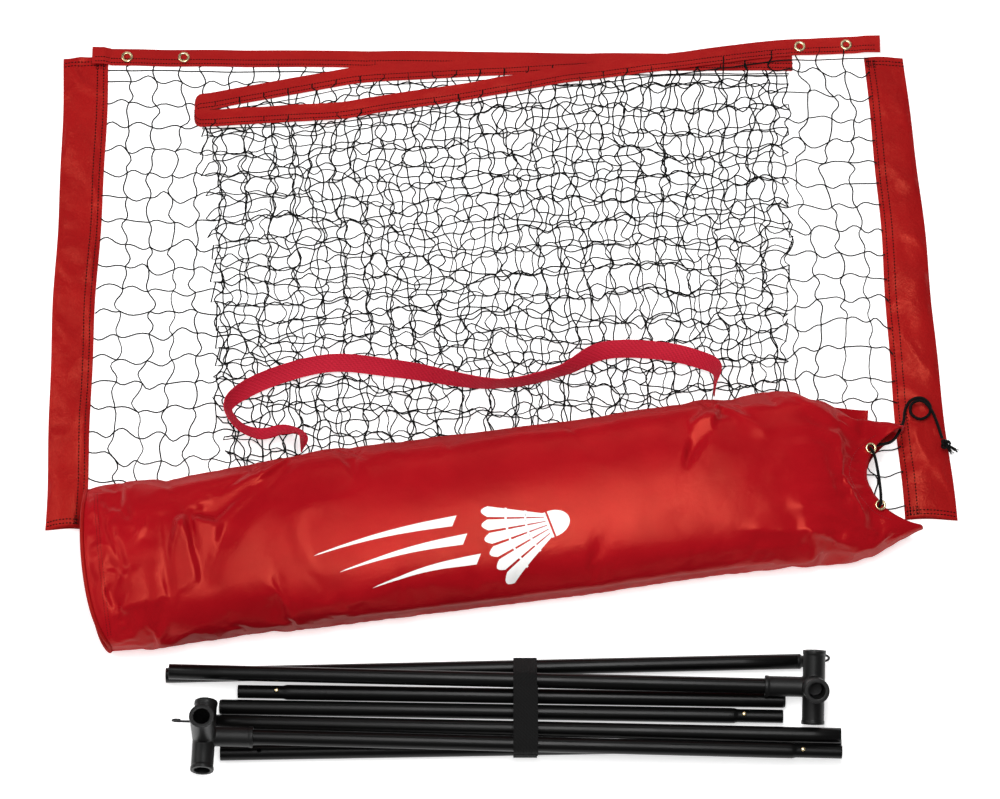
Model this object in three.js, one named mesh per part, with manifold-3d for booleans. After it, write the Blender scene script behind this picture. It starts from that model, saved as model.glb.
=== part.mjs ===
// Portable badminton net kit, laid out on the floor: the net folded in three layers, its carry
// bag lying across the lower edge of the net, and the frame poles held in one hook-and-loop strap.
// Millimetres, +Z up, floor at z = 0. +X runs along the net, +Y away from the poles.
import * as THREE from 'three';
import { mergeVertices } from 'three/addons/utils/BufferGeometryUtils.js';
import Module from 'manifold-3d';

const wasm = await Module();
wasm.setup();

// ---- driving dimensions ----
const GAP = 0.3; // left between touching pieces

const NET_BOTTOM_Y = -205; // lower edge of the netting
const MESH_T = 1.6; // thickness of one laid layer of twine netting
const MESH_Z = [0.8, 3.7, 6.4]; // centre heights of the three layers
const TAPE_W = 28, TAPE_T = 1.4; // header tape
const TAPE_CLEAR = 2.5; // from the tape to the laid netting, which hangs from it by its top cords
const TAPE_Z = [1.9, 4.1, 6.4];

const SLEEVE_H = 10, SLEEVE_WALL = 1.2, SLEEVE_TOP_SEAM = 30;

const GROMMET_R = 9, GROMMET_HOLE_R = 4.8, GROMMET_T = 3.6;
const MOUTH_GROMMET_R = 8, MOUTH_GROMMET_HOLE_R = 4.6;

const BAG_LENGTH = 1160, BAG_WALL = 1.6;
const BAG_LEFT = new THREE.Vector2(-582, -287); // middle of the closed end
const BAG_TURN = THREE.MathUtils.degToRad(7.2);
const BAG_MID_Z = 52; // height of the bag's widest line
const PIPING_R = 3;

const WEB_W = 27, WEB_T = 2; // shoulder strap webbing
const CORD_R = 2.2;

const TUBE_R = 11, TUBE_WALL = 1, SWAGE_R = 9.6, SWAGE_L = 66, BUTTON_FROM_END = 56;
const UPRIGHT_L = 910, CROSSBAR_L = 917, FOOT_L = 790;
const LOW_Z = 14.1; // axis height of the lower tubes, which lie on the bundle strap
const SOCKET_R = 11.5, SLEEVE_R = 16, SOCKET_OUT_R = 17, BRANCH_R = 14.5;
const FITTING_SLEEVE_L = 106, SOCKET_H = 72, BRANCH_L = 70, BRANCH_BORE_R = 11.3;
const WIRE_R = 1.7;
const BUNDLE_X = 36, BUNDLE_W = 34, BUNDLE_T = 2.2, BUNDLE_FREE = 0.9;

// ---- materials ----
function material(color, roughness, metalness = 0) {
  return new THREE.MeshStandardMaterial({ color, roughness, metalness });
}
const RED_NYLON = () => material(0xc41c14, 0.34);
const RED_WEBBING = () => material(0xc8202a, 0.75);
const BLACK_TWINE = () => material(0x141414, 0.8);
const BRASS = () => material(0xb98a4a, 0.32, 1);
const BLACK_TUBE = () => material(0x0d0d0e, 0.3, 0.2);
const BLACK_MOULDED = () => material(0x151515, 0.5);
const BLACK_CLOTH = () => material(0x111112, 0.9);
const STEEL_WIRE = () => material(0x2a2a2c, 0.35, 0.9);

const kit = new THREE.Group();
kit.name = 'portable_badminton_net';
const cords = new Set();

function add(name, geometry, mat) {
  const mesh = new THREE.Mesh(geometry, mat);
  mesh.name = name;
  kit.add(mesh);
  return mesh;
}

// ---- geometry helpers ----
function signedVolume(position, index) {
  const a = new THREE.Vector3(), b = new THREE.Vector3(), c = new THREE.Vector3();
  let volume = 0;
  for (let i = 0; i < index.length; i += 3) {
    a.fromBufferAttribute(position, index[i]);
    b.fromBufferAttribute(position, index[i + 1]);
    c.fromBufferAttribute(position, index[i + 2]);
    volume += a.dot(b.cross(c)) / 6;
  }
  return volume;
}

// A closed surface from points and triangles, turned to face outwards.
function closedSurface(points, triangles) {
  const geometry = new THREE.BufferGeometry();
  geometry.setAttribute('position', new THREE.Float32BufferAttribute(points.flatMap((p) => p.toArray()), 3));
  if (signedVolume(geometry.attributes.position, triangles) < 0) {
    for (let i = 0; i < triangles.length; i += 3) {
      [triangles[i + 1], triangles[i + 2]] = [triangles[i + 2], triangles[i + 1]];
    }
  }
  geometry.setIndex(triangles);
  geometry.computeVertexNormals();
  return geometry;
}

function joinRings(triangles, startA, startB, count) {
  for (let i = 0; i < count; i++) {
    const j = (i + 1) % count;
    triangles.push(startA + i, startA + j, startB + j, startA + i, startB + j, startB + i);
  }
}

// Rings of equal count, one after the other, closed by a fan at each end.
function capsule(rings) {
  const count = rings[0].length, points = rings.flat(), triangles = [];
  for (let k = 0; k + 1 < rings.length; k++) joinRings(triangles, k * count, (k + 1) * count, count);
  for (const [ring, flip] of [[0, true], [rings.length - 1, false]]) {
    const middle = new THREE.Vector3();
    rings[ring].forEach((p) => middle.add(p));
    points.push(middle.divideScalar(count));
    for (let i = 0; i < count; i++) {
      const a = ring * count + i, b = ring * count + ((i + 1) % count);
      triangles.push(...(flip ? [points.length - 1, b, a] : [points.length - 1, a, b]));
    }
  }
  return closedSurface(points, triangles);
}

// A wall between outer and inner rings: open at the first ring, and at the last one too
// unless the inner rings are to be capped there.
function wall(outer, inner, capped) {
  const count = outer[0].length;
  if (!capped) {
    const loop = [...outer, ...inner.slice().reverse()];
    const triangles = [];
    for (let k = 0; k < loop.length; k++) {
      joinRings(triangles, k * count, ((k + 1) % loop.length) * count, count);
    }
    return closedSurface(loop.flat(), triangles);
  }
  return capsule([...outer.slice().reverse(), ...inner]);
}

// A flat band between two edge lines of equal count, with square ends.
function band(edgeA, edgeB, thickness) {
  const points = [], triangles = [], n = edgeA.length;
  for (let k = 0; k < n; k++) {
    const before = Math.max(k - 1, 0), after = Math.min(k + 1, n - 1);
    for (const edge of [edgeA, edgeB]) {
      const along = edge[after].clone().sub(edge[before]);
      const across = edgeB[k].clone().sub(edgeA[k]);
      const normal = along.cross(across).normalize().multiplyScalar(thickness / 2);
      points.push(edge[k].clone().add(normal), edge[k].clone().sub(normal));
    }
  }
  for (let k = 0; k + 1 < n; k++) {
    for (const [p, q] of [[0, 2], [2, 3], [3, 1], [1, 0]]) {
      const a = 4 * k, b = a + 4;
      triangles.push(a + p, b + p, b + q, a + p, b + q, a + q);
    }
  }
  const e = 4 * (n - 1);
  triangles.push(0, 2, 3, 0, 3, 1, e, e + 3, e + 2, e, e + 1, e + 3);
  return closedSurface(points, triangles);
}

function solid(geometry) {
  const bare = geometry.clone();
  for (const name of ['normal', 'uv']) bare.deleteAttribute(name);
  const merged = mergeVertices(bare, 1e-4);
  return new wasm.Manifold(new wasm.Mesh({
    numProp: 3,
    vertProperties: new Float32Array(merged.attributes.position.array),
    triVerts: new Uint32Array(merged.index.array),
  }));
}

function fromSolid(body) {
  const mesh = body.getMesh(), geometry = new THREE.BufferGeometry();
  geometry.setAttribute('position', new THREE.BufferAttribute(new Float32Array(mesh.vertProperties), 3));
  geometry.setIndex(Array.from(mesh.triVerts));
  geometry.computeVertexNormals();
  return geometry;
}

// The same shape with its faces turned outwards.
function outward(geometry) {
  const bare = geometry.clone();
  for (const name of ['normal', 'uv']) bare.deleteAttribute(name);
  const merged = mergeVertices(bare, 1e-4), { position } = merged.attributes, points = [];
  for (let i = 0; i < position.count; i++) points.push(new THREE.Vector3().fromBufferAttribute(position, i));
  const triangles = Array.from(merged.index.array), kept = [];
  for (let i = 0; i < triangles.length; i += 3) {
    const [a, b, c] = triangles.slice(i, i + 3);
    if (a !== b && b !== c && c !== a) kept.push(a, b, c);
  }
  return closedSurface(points, kept);
}

// A solid of revolution about +X from [x, radius] points, closed on itself or on the axis.
function turned(profile, segments = 24) {
  const geometry = new THREE.LatheGeometry(profile.map(([x, r]) => new THREE.Vector2(r, x)), segments);
  return outward(geometry.rotateZ(-Math.PI / 2));
}

function rod(radius, from, to, segments = 24) {
  const length = from.distanceTo(to);
  const geometry = new THREE.CylinderGeometry(radius, radius, length, segments).translate(0, length / 2, 0);
  const turn = new THREE.Quaternion().setFromUnitVectors(
    new THREE.Vector3(0, 1, 0), to.clone().sub(from).normalize());
  return geometry.applyQuaternion(turn).translate(from.x, from.y, from.z);
}

function alongCurve(curve, radius, sides, steps) {
  const outline = new THREE.Shape();
  for (let i = 0; i < sides; i++) {
    const a = (2 * Math.PI * i) / sides, x = radius * Math.cos(a), y = radius * Math.sin(a);
    if (i === 0) outline.moveTo(x, y); else outline.lineTo(x, y);
  }
  outline.closePath();
  return new THREE.ExtrudeGeometry(outline, { steps, extrudePath: curve, bevelEnabled: false, curveSegments: 1 });
}

function piecewise(points, x) {
  if (x <= points[0][0]) return points[0][1];
  for (let k = 1; k < points.length; k++) {
    const [x0, y0] = points[k - 1], [x1, y1] = points[k];
    if (x <= x1) return y0 + ((y1 - y0) * (x - x0)) / (x1 - x0);
  }
  return points[points.length - 1][1];
}

const mix = (a, b, t) => a + (b - a) * t;
const ease = (t) => THREE.MathUtils.smoothstep(t, 0, 1);

// ---- net: three layers folded in a zigzag ----
// Middle line of the header tape along each run, as [x, y].
const RUN_1 = [[-596, 557], [-470, 556], [-200, 554], [150, 550], [446, 548]];
const RUN_2 = [[446, 548], [153, 549], [-61, 536], [-214, 528], [-455, 480]];
const RUN_3 = [[-455, 452], [-244, 465], [-26, 502], [98, 526], [245, 546], [348, 559], [430, 571], [556, 576]];
// Sides of the netting from top to bottom, as [y, x].
const LEFT_SIDE = [[-205, -606], [540, -597]];
const RIGHT_SIDE = [[-205, 590], [560, 558]];
const LEFT_FOLD = [[-205, -402], [452, -452]];
const RIGHT_FOLD = [[-205, 424], [548, 444]];

// Height stations of one hairpin fold between two layers, as [outward reach, height].
function hairpin(z0, z1) {
  const r = (z1 - z0) / 2;
  return [30, 60, 90, 120, 150].map((deg) => {
    const a = THREE.MathUtils.degToRad(deg);
    return [r * Math.sin(a), z0 + r - r * Math.cos(a)];
  });
}

// Both edges of a three-layer zigzag band. edges(layer, t) gives the two edge points [x, y]
// at share t of that layer's run. early: the edges step over at the start of each fold.
function zigzag(edges, heights, steps, early = false) {
  const edgeA = [], edgeB = [];
  const put = (pair, reach, z) => {
    edgeA.push(new THREE.Vector3(pair[0][0] + reach, pair[0][1], z));
    edgeB.push(new THREE.Vector3(pair[1][0] + reach, pair[1][1], z));
  };
  for (let layer = 0; layer < 3; layer++) {
    for (let k = 0; k <= steps; k++) put(edges(layer, k / steps), 0, heights[layer]);
    if (layer < 2) {
      const from = edges(layer, 1), to = edges(layer + 1, 0), side = layer === 0 ? 1 : -1;
      hairpin(heights[layer], heights[layer + 1]).forEach(([reach, z], i) => {
        const t = early ? 1 : (i + 1) / 6;
        const pair = from.map((p, e) => [mix(p[0], to[e][0], t), mix(p[1], to[e][1], t)]);
        put(pair, side * reach, z);
      });
    }
  }
  return [edgeA, edgeB];
}

const RUNS = [RUN_1, RUN_2, RUN_3];
function runY(layer, x) {
  const run = RUNS[layer];
  return piecewise(layer === 1 ? run.slice().reverse() : run, x);
}
function tapeEdges(layer, t) {
  const run = RUNS[layer], x = mix(run[0][0], run[run.length - 1][0], t), y = runY(layer, x);
  return [[x, y + TAPE_W / 2], [x, y - TAPE_W / 2]];
}
function meshEdges(layer, t) {
  const sides = [[LEFT_SIDE, RIGHT_FOLD], [RIGHT_FOLD, LEFT_FOLD], [LEFT_FOLD, RIGHT_SIDE]][layer];
  const topX = mix(piecewise(sides[0], 999), piecewise(sides[1], 999), t);
  const bottomX = mix(piecewise(sides[0], -999), piecewise(sides[1], -999), t);
  return [[topX, runY(layer, topX) - TAPE_W / 2 - TAPE_CLEAR], [bottomX, NET_BOTTOM_Y]];
}
add('net_mesh', band(...zigzag(meshEdges, MESH_Z, 24, true), MESH_T), BLACK_TWINE());

const HEADER_GROMMETS = [[0, -571], [0, -484], [2, 459], [2, 530]]; // layer, x
let tape = solid(band(...zigzag(tapeEdges, TAPE_Z, 24), TAPE_T));
HEADER_GROMMETS.forEach(([layer, x], i) => {
  const at = new THREE.Vector3(x, runY(layer, x), TAPE_Z[layer]);
  const up = new THREE.Vector3(0, 0, TAPE_T);
  const barrel = GROMMET_HOLE_R + 0.9;
  tape = tape.subtract(solid(rod(barrel + GAP, at.clone().sub(up), at.clone().add(up), 20)));
  // flanges above and below the tape, joined by the barrel through it
  const t = GROMMET_T / 2, lip = TAPE_T / 2 + GAP;
  const ring = turned([[-t, GROMMET_HOLE_R], [t, GROMMET_HOLE_R], [t, GROMMET_R - 1], [lip, GROMMET_R],
    [lip, barrel], [-lip, barrel], [-lip, GROMMET_R], [-t, GROMMET_R - 1], [-t, GROMMET_HOLE_R]], 20);
  add(`header_grommet_${i + 1}`, ring.rotateY(Math.PI / 2).translate(at.x, at.y, at.z), BRASS());
});
add('header_tape', fromSolid(tape), RED_NYLON());

// ---- pole sleeves: flattened cloth tubes, open at the lower end ----
// Corners as [outer x, inner x] at the bottom and the top.
function poleSleeve(name, bottom, top, yBottom, yTop) {
  const ring = (t, inset) => {
    const half = (mix(bottom[1], top[1], t) - mix(bottom[0], top[0], t)) / 2;
    const middle = (mix(bottom[1], top[1], t) + mix(bottom[0], top[0], t)) / 2;
    const y = mix(yBottom, yTop, t), points = [], across = 10;
    const rise = SLEEVE_H * (1 - 0.25 * t);
    for (let i = 0; i <= across; i++) {
      const u = -1 + (2 * i) / across;
      const z = inset + (rise - 2 * inset) * (1 - Math.abs(u) ** 2.6) + 0.5;
      points.push(new THREE.Vector3(middle + u * (Math.abs(half) - 2.5 * inset), y, z));
    }
    for (let i = across - 1; i > 0; i--) {
      const u = -1 + (2 * i) / across;
      points.push(new THREE.Vector3(middle + u * (Math.abs(half) - 2.5 * inset), y, inset));
    }
    return points;
  };
  const outer = [], inner = [], steps = 8;
  const lumen = 1 - SLEEVE_TOP_SEAM / (yTop - yBottom);
  for (let k = 0; k <= steps; k++) {
    outer.push(ring(k / steps, 0));
    inner.push(ring((k / steps) * lumen, SLEEVE_WALL));
  }
  add(name, wall(outer, inner, true), RED_NYLON());
}
poleSleeve('pole_sleeve_left', [-667, -608.3], [-667, -598.3], -203, 556);
poleSleeve('pole_sleeve_right', [592, 669], [559.5, 619], -188, 557);

// ---- carry bag ----
const bagX = new THREE.Vector2(Math.cos(BAG_TURN), Math.sin(BAG_TURN));
// How far the bag's middle line bows towards the net.
const BOW = [[0, 6], [200, 13], [350, 16], [700, 16], [900, 22], [1040, 20], [1120, 0], [1160, 0]];
function onBag(along, across, z) {
  const side = across + piecewise(BOW, along);
  return new THREE.Vector3(
    BAG_LEFT.x + bagX.x * along - bagX.y * side,
    BAG_LEFT.y + bagX.y * along + bagX.x * side, z);
}
// The bag drapes over the lower edge of the net and over the right sleeve.
function groundUnderBag(x, y) {
  const net = 8.8 * ease((y - NET_BOTTOM_Y + 75) / 55);
  const sleeve = 11.6 * ease((x - 525) / 45) * ease((y + 265) / 45);
  return Math.max(net, sleeve);
}
const HALF_WIDTH = [[0, 119], [60, 125], [200, 130], [350, 138], [900, 138], [1030, 135], [1085, 120],
  [1125, 90], [1160, 72]];
const RISE = [[0, 50], [80, 56], [900, 56], [1030, 50], [1100, 34], [1160, 24]];
const MIDDLE = [[0, BAG_MID_Z], [950, BAG_MID_Z], [1160, 44]];
function bagRing(along, inset, count = 30) {
  const a = piecewise(HALF_WIDTH, along) - inset, rise = piecewise(RISE, along) - inset;
  const middle = piecewise(MIDDLE, along), flat = mix(1, 0.55, ease((along - 950) / 200));
  const points = [];
  for (let i = 0; i < count; i++) {
    const t = (2 * Math.PI * i) / count, s = Math.sin(t);
    const z = s >= 0 ? middle + rise * s ** flat : middle - (middle - inset) * (-s) ** 0.5;
    const p = onBag(along, a * Math.cos(t), z);
    p.z = Math.max(p.z, groundUnderBag(p.x, p.y) + inset);
    points.push(p);
  }
  return points;
}
const stations = [0, 40, 140, 260, 380, 500, 620, 740, 860, 950, 1020, 1060, 1095, 1130, BAG_LENGTH];
let shell = solid(wall(stations.map((s) => bagRing(s, 0)), stations.map((s) => bagRing(s, BAG_WALL)), false));

// The drawcord runs in the hem of the mouth and comes out through two grommets on its upper side.
const MOUTH_GROMMETS = [[1136, 44], [1136, -44]];
function mouthTop(along, across) {
  const share = Math.sqrt(1 - (across / piecewise(HALF_WIDTH, along)) ** 2);
  const flat = mix(1, 0.55, ease((along - 950) / 200));
  return onBag(along, across, piecewise(MIDDLE, along) + piecewise(RISE, along) * share ** flat - BAG_WALL / 2);
}
MOUTH_GROMMETS.forEach(([along, across], i) => {
  const at = mouthTop(along, across), up = new THREE.Vector3(0, 0, 12);
  const barrel = MOUTH_GROMMET_HOLE_R + 0.8, lip = 3.4, t = lip + 0.8;
  shell = shell.subtract(solid(rod(barrel + GAP, at.clone().sub(up), at.clone().add(up), 16)));
  const ring = turned([[-t, MOUTH_GROMMET_HOLE_R], [t, MOUTH_GROMMET_HOLE_R], [t, MOUTH_GROMMET_R - 0.8],
    [lip, MOUTH_GROMMET_R], [lip, barrel], [-lip, barrel], [-lip, MOUTH_GROMMET_R], [-t, MOUTH_GROMMET_R - 0.8],
    [-t, MOUTH_GROMMET_HOLE_R]], 16);
  add(`mouth_grommet_${i + 1}`, ring.rotateY(-Math.PI / 2).translate(at.x, at.y, at.z), BRASS());
});
add('bag_shell', fromSolid(shell), RED_NYLON());

// closed end: a panel held just outside the shell, and the piping around its seam
const shifted = (ring, by) => ring.map((p) => p.clone().add(new THREE.Vector3(-bagX.x * by, -bagX.y * by, 0)));
const endRing = bagRing(0, 0);
add('bag_end_panel', capsule([shifted(endRing, GAP), shifted(endRing, GAP + BAG_WALL)]), RED_NYLON());

const pipingOut = GAP + BAG_WALL + GAP + PIPING_R;
const seam = new THREE.CatmullRomCurve3(shifted(bagRing(0, PIPING_R + 0.05, 40), pipingOut), true);
const pipingRings = [];
const pipingSteps = 60;
for (let k = 0; k < pipingSteps; k++) {
  const p = seam.getPointAt(k / pipingSteps), out = p.clone().sub(onBag(0, 0, BAG_MID_Z));
  const axis = new THREE.Vector3(bagX.x, bagX.y, 0);
  out.addScaledVector(axis, -out.dot(axis)).normalize();
  pipingRings.push([0, 1, 2, 3, 4, 5].map((i) => {
    const a = (Math.PI * i) / 3;
    return p.clone().addScaledVector(out, PIPING_R * Math.cos(a)).addScaledVector(axis, PIPING_R * Math.sin(a));
  }));
}
const pipingTriangles = [];
for (let k = 0; k < pipingSteps; k++) joinRings(pipingTriangles, 6 * k, 6 * ((k + 1) % pipingSteps), 6);
add('bag_end_piping', closedSurface(pipingRings.flat(), pipingTriangles), RED_NYLON());

// ---- shoulder strap: webbing from two points on the back of the bag, lying on the net ----
// Stations as x, y, z of the middle and the angle of the width line from level, in degrees.
const STRAP_PATH = [
  [-291, -84, 64, 90], [-293, -72, 54, 62], [-318, -60, 33, 40], [-352, -62, 22, 35], [-384, -50, 23, 55],
  [-402, -18, 22, 70], [-372, 12, 18, 35], [-258, 52, 13, 12], [-150, 42, 17, 35], [0, 16, 24, 82],
  [90, 36, 24, 74], [152, 70, 18, 28], [238, 72, 14, 14], [292, 56, 22, 42], [319, 34, 42, 66], [316, 12, 62, 90],
];
function webbing(path, steps) {
  const middle = new THREE.CatmullRomCurve3(path.map(([x, y, z]) => new THREE.Vector3(x, y, z)), false, 'centripetal');
  const edgeA = [], edgeB = [];
  for (let k = 0; k <= steps; k++) {
    const t = k / steps, p = middle.getPoint(t), along = middle.getTangent(t);
    const f = t * (path.length - 1), i = Math.min(Math.floor(f), path.length - 2);
    const tilt = THREE.MathUtils.degToRad(mix(path[i][3], path[i + 1][3], f - i));
    const level = new THREE.Vector3(-along.y, along.x, 0).normalize();
    const width = level.multiplyScalar(Math.cos(tilt)).add(new THREE.Vector3(0, 0, Math.sin(tilt)));
    width.addScaledVector(along, -width.dot(along)).normalize().multiplyScalar(WEB_W / 2);
    edgeA.push(p.clone().add(width));
    edgeB.push(p.clone().sub(width));
  }
  return band(edgeA, edgeB, WEB_T);
}
add('shoulder_strap', webbing(STRAP_PATH, 90), RED_WEBBING());
function sewnPatch(name, along, lift) {
  // stitched reinforcement just outside the bag's back line
  const from = onBag(along - 20, piecewise(HALF_WIDTH, along) + 1.2, BAG_MID_Z + lift);
  const to = onBag(along + 20, piecewise(HALF_WIDTH, along) + 1.2, BAG_MID_Z + lift);
  const up = new THREE.Vector3(0, 0, 11);
  add(name, band([from.clone().add(up), to.clone().add(up)], [from.clone().sub(up), to.clone().sub(up)], 1.4),
    RED_WEBBING());
}
sewnPatch('strap_patch_left', 309, -26);
sewnPatch('strap_patch_right', 925, -26);

// ---- drawcord through the upper mouth grommets, its tail ending in a knot ----
const [g1, g2] = MOUTH_GROMMETS.map(([along, across]) => mouthTop(along, across));
const over = 9.5, under = -9;
const beside = (g, x, y, z) => g.clone().add(new THREE.Vector3(x, y, z));
const cordPath = [
  onBag(1128, -52, g2.z + under * 1.9), beside(g2, -1.2, -1, under * 0.45), beside(g2, 0.3, 1.6, over * 0.55),
  onBag(1138, -30, g2.z + over + 1.6), onBag(1139, 0, g1.z + over + 3.2), onBag(1138, 30, g1.z + over + 1.6),
  beside(g1, -0.3, -1.6, over * 0.55), beside(g1, 0.8, 1, under * 0.45), onBag(1146, 53, g1.z + under * 1.9),
  onBag(1170, 56, g1.z + under - 8), new THREE.Vector3(593, -46, 30), new THREE.Vector3(598, -22, 17.5),
  new THREE.Vector3(608, -6, 14.6), new THREE.Vector3(624, -3, 14.5), new THREE.Vector3(635, -14, 14.5),
  new THREE.Vector3(633, -29, 15), new THREE.Vector3(619, -37, 17.5), new THREE.Vector3(606, -29, 20),
  new THREE.Vector3(608, -14, 20.2), new THREE.Vector3(622, -9, 19.6), new THREE.Vector3(636, -22, 17.4),
  new THREE.Vector3(645, -44, 14.8), new THREE.Vector3(651, -66, 14.5),
];
add('bag_drawcord', alongCurve(new THREE.CatmullRomCurve3(cordPath, false, 'centripetal'), CORD_R, 8, 84),
  BLACK_CLOTH());
cords.add('bag_drawcord');
const knot = new THREE.TorusKnotGeometry(4.4, CORD_R * 0.9, 56, 7, 2, 3);
add('drawcord_knot', knot.rotateX(0.5).translate(655.5, -76, 17), BLACK_CLOTH());
cords.add('drawcord_knot');

// ---- frame poles ----
// A tube along +X from 0 to length; a swaged end is necked down to enter the next tube.
function tubeProfile(length, swaged) {
  const r = TUBE_R, inner = r - TUBE_WALL, s = SWAGE_R, si = s - TUBE_WALL;
  const profile = [[0, inner], [0, r]];
  if (swaged) profile.push([length - SWAGE_L - 4, r], [length - SWAGE_L, s], [length, s], [length, si],
    [length - SWAGE_L, si], [length - SWAGE_L - 4, inner]);
  else profile.push([length, r], [length, inner]);
  return [...profile, [0, inner]];
}
function frameAlong(from, to) {
  const x = to.clone().sub(from).normalize();
  const y = new THREE.Vector3(0, 0, 1).cross(x).normalize();
  return new THREE.Matrix4().makeBasis(x, y, x.clone().cross(y)).setPosition(from);
}
// Cross holes for snap buttons at the given distances from the tube's start, facing +Z.
function tube(length, swaged, holes = []) {
  let body = solid(turned(tubeProfile(length, swaged)));
  for (const x of holes) {
    body = body.subtract(solid(rod(3.5, new THREE.Vector3(x, 0, 2), new THREE.Vector3(x, 0, 20), 14)));
  }
  return fromSolid(body);
}
// Directions run from the plain end to the end named second.
const V = (x, y, z) => new THREE.Vector3(x, y, z);
const lines = {
  upright_1: [V(-481, -428, LOW_Z), V(429, -407, LOW_Z)],
  upright_2: [V(486, -524, 39.2), V(-424, -497, LOW_Z + 0.6)],
  crossbar_right: [V(432, -452, 39), V(-478, -428.5, LOW_Z + 22.6)],
  crossbar_left: [V(-404, -528, 50.5), V(488, -547.5, 36.6)],
  crossbar_middle: [V(-400, -543, LOW_Z), V(488, -527.5, LOW_Z)],
  foot_1: [V(407, -465, LOW_Z), V(-377, -452, LOW_Z)],
  foot_2: [V(-400, -474.8, LOW_Z), V(407, -489, LOW_Z)],
};
const place = Object.fromEntries(Object.entries(lines).map(([name, [a, b]]) => [name, frameAlong(a, b)]));

function hookAndPlug(number, key, turn) {
  const frame = place[key], inner = TUBE_R - TUBE_WALL - 0.15;
  const plug = turned([[UPRIGHT_L - 24, 0], [UPRIGHT_L - 24, inner - 0.6], [UPRIGHT_L - 1, inner],
    [UPRIGHT_L + GAP, inner], [UPRIGHT_L + GAP, TUBE_R], [UPRIGHT_L + 4, TUBE_R], [UPRIGHT_L + 6, 8.5],
    [UPRIGHT_L + 18, 7.5], [UPRIGHT_L + 18, 0]], 20);
  const hole = rod(WIRE_R + 0.35, V(UPRIGHT_L + 4, 0, 0), V(UPRIGHT_L + 30, 0, 0), 12);
  add(`upright_plug_${number}`, fromSolid(solid(plug).subtract(solid(hole))).applyMatrix4(frame), BLACK_MOULDED());
  // J hook: straight shank, then a half turn back towards the tube
  const reach = 8.3, x0 = UPRIGHT_L + 5, x1 = UPRIGHT_L + 46;
  const path = new THREE.CatmullRomCurve3([V(x0, 0, 0), V(x0 + 14, 0, 0), V(x1 - 14, 0, 0), V(x1 - 3, 0.6, 0),
    V(x1, 4.2, 0), V(x1 - 4, reach - 0.4, 0), V(x1 - 12, reach - 0.6, 0)], false, 'centripetal');
  const hook = alongCurve(path, WIRE_R, 8, 34).rotateX(turn);
  add(`wire_hook_${number}`, hook.applyMatrix4(frame), STEEL_WIRE());
}
function pole(name, key, length, swaged, holes) {
  add(name, tube(length, swaged, holes).applyMatrix4(place[key]), BLACK_TUBE());
}
pole('upright_tube_1', 'upright_1', UPRIGHT_L, false);
pole('upright_tube_2', 'upright_2', UPRIGHT_L, false);
hookAndPlug(1, 'upright_1', 0);
hookAndPlug(2, 'upright_2', Math.PI / 2);
const CROSSBAR_IN = 17; // the seated end stops this far from the fitting's middle
pole('crossbar_tube_right', 'crossbar_right', CROSSBAR_L - 10, false);
pole('crossbar_tube_left', 'crossbar_left', CROSSBAR_L - 26, true, [CROSSBAR_L - 26 - BUTTON_FROM_END]);
pole('crossbar_tube_middle', 'crossbar_middle', 888, false, [BUTTON_FROM_END, 888 - BUTTON_FROM_END]);
pole('foot_tube_1', 'foot_1', FOOT_L - 6, true, [FOOT_L - 6 - BUTTON_FROM_END]);
pole('foot_tube_2', 'foot_2', FOOT_L + 16, true, [FOOT_L + 16 - BUTTON_FROM_END]);

function snapButton(name, key, x) {
  const pin = turned([[SWAGE_R - 4, 0], [SWAGE_R - 4, 3.1], [SWAGE_R + 2.6, 3.1], [SWAGE_R + 3.6, 1.9],
    [SWAGE_R + 3.9, 0]], 14).rotateY(-Math.PI / 2).translate(x, 0, 0);
  add(name, pin.applyMatrix4(place[key]), BRASS());
}
snapButton('snap_button_1', 'crossbar_left', CROSSBAR_L - 26 - BUTTON_FROM_END);
snapButton('snap_button_2', 'foot_1', FOOT_L - 6 - BUTTON_FROM_END);
snapButton('snap_button_3', 'foot_2', FOOT_L + 16 - BUTTON_FROM_END);

function footCap(name, key) {
  const inner = TUBE_R - TUBE_WALL - 0.2;
  const cap = turned([[-3, 0], [-3, 8], [-2.2, 10.6], [-GAP, 10.6], [-GAP, inner], [16, inner - 0.8], [16, 0]], 20);
  add(name, cap.applyMatrix4(place[key]), BLACK_MOULDED());
}
footCap('foot_cap_1', 'foot_1');
footCap('foot_cap_2', 'foot_2');

// ---- base fittings: sleeve for the foot, socket for the upright, branch for the crossbar ----
// Built with the branch along +X, the foot sleeve along Y and the socket along +Z.
function baseFitting() {
  const half = FITTING_SLEEVE_L / 2;
  let body = solid(rod(SLEEVE_R, V(0, -half, 0), V(0, half, 0), 28));
  body = body.add(solid(rod(SOCKET_OUT_R, V(0, 0, 0), V(0, 0, SOCKET_H), 28)));
  body = body.add(solid(rod(BRANCH_R, V(0, 0, 0), V(BRANCH_L, 0, 0), 28)));
  for (const y of [-half, half - 5]) body = body.add(solid(rod(SLEEVE_R + 0.8, V(0, y, 0), V(0, y + 5, 0), 28)));
  body = body.add(solid(rod(SOCKET_OUT_R + 0.8, V(0, 0, SOCKET_H - 5), V(0, 0, SOCKET_H), 28)));
  body = body.add(solid(rod(BRANCH_R + 0.8, V(BRANCH_L - 5, 0, 0), V(BRANCH_L, 0, 0), 28)));
  body = body.subtract(solid(rod(SOCKET_R, V(0, -half - 1, 0), V(0, half + 1, 0), 28)));
  body = body.subtract(solid(rod(SOCKET_R, V(0, 0, 15.5), V(0, 0, SOCKET_H + 1), 28)));
  return body.subtract(solid(rod(BRANCH_BORE_R, V(CROSSBAR_IN - 1, 0, 0), V(BRANCH_L + 1, 0, 0), 28)));
}
const fitting = baseFitting();
function placeFitting(name, key, roll) {
  const geometry = fromSolid(fitting).rotateX(roll).translate(-CROSSBAR_IN, 0, 0);
  add(name, geometry.applyMatrix4(place[key]), BLACK_MOULDED());
}
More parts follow.
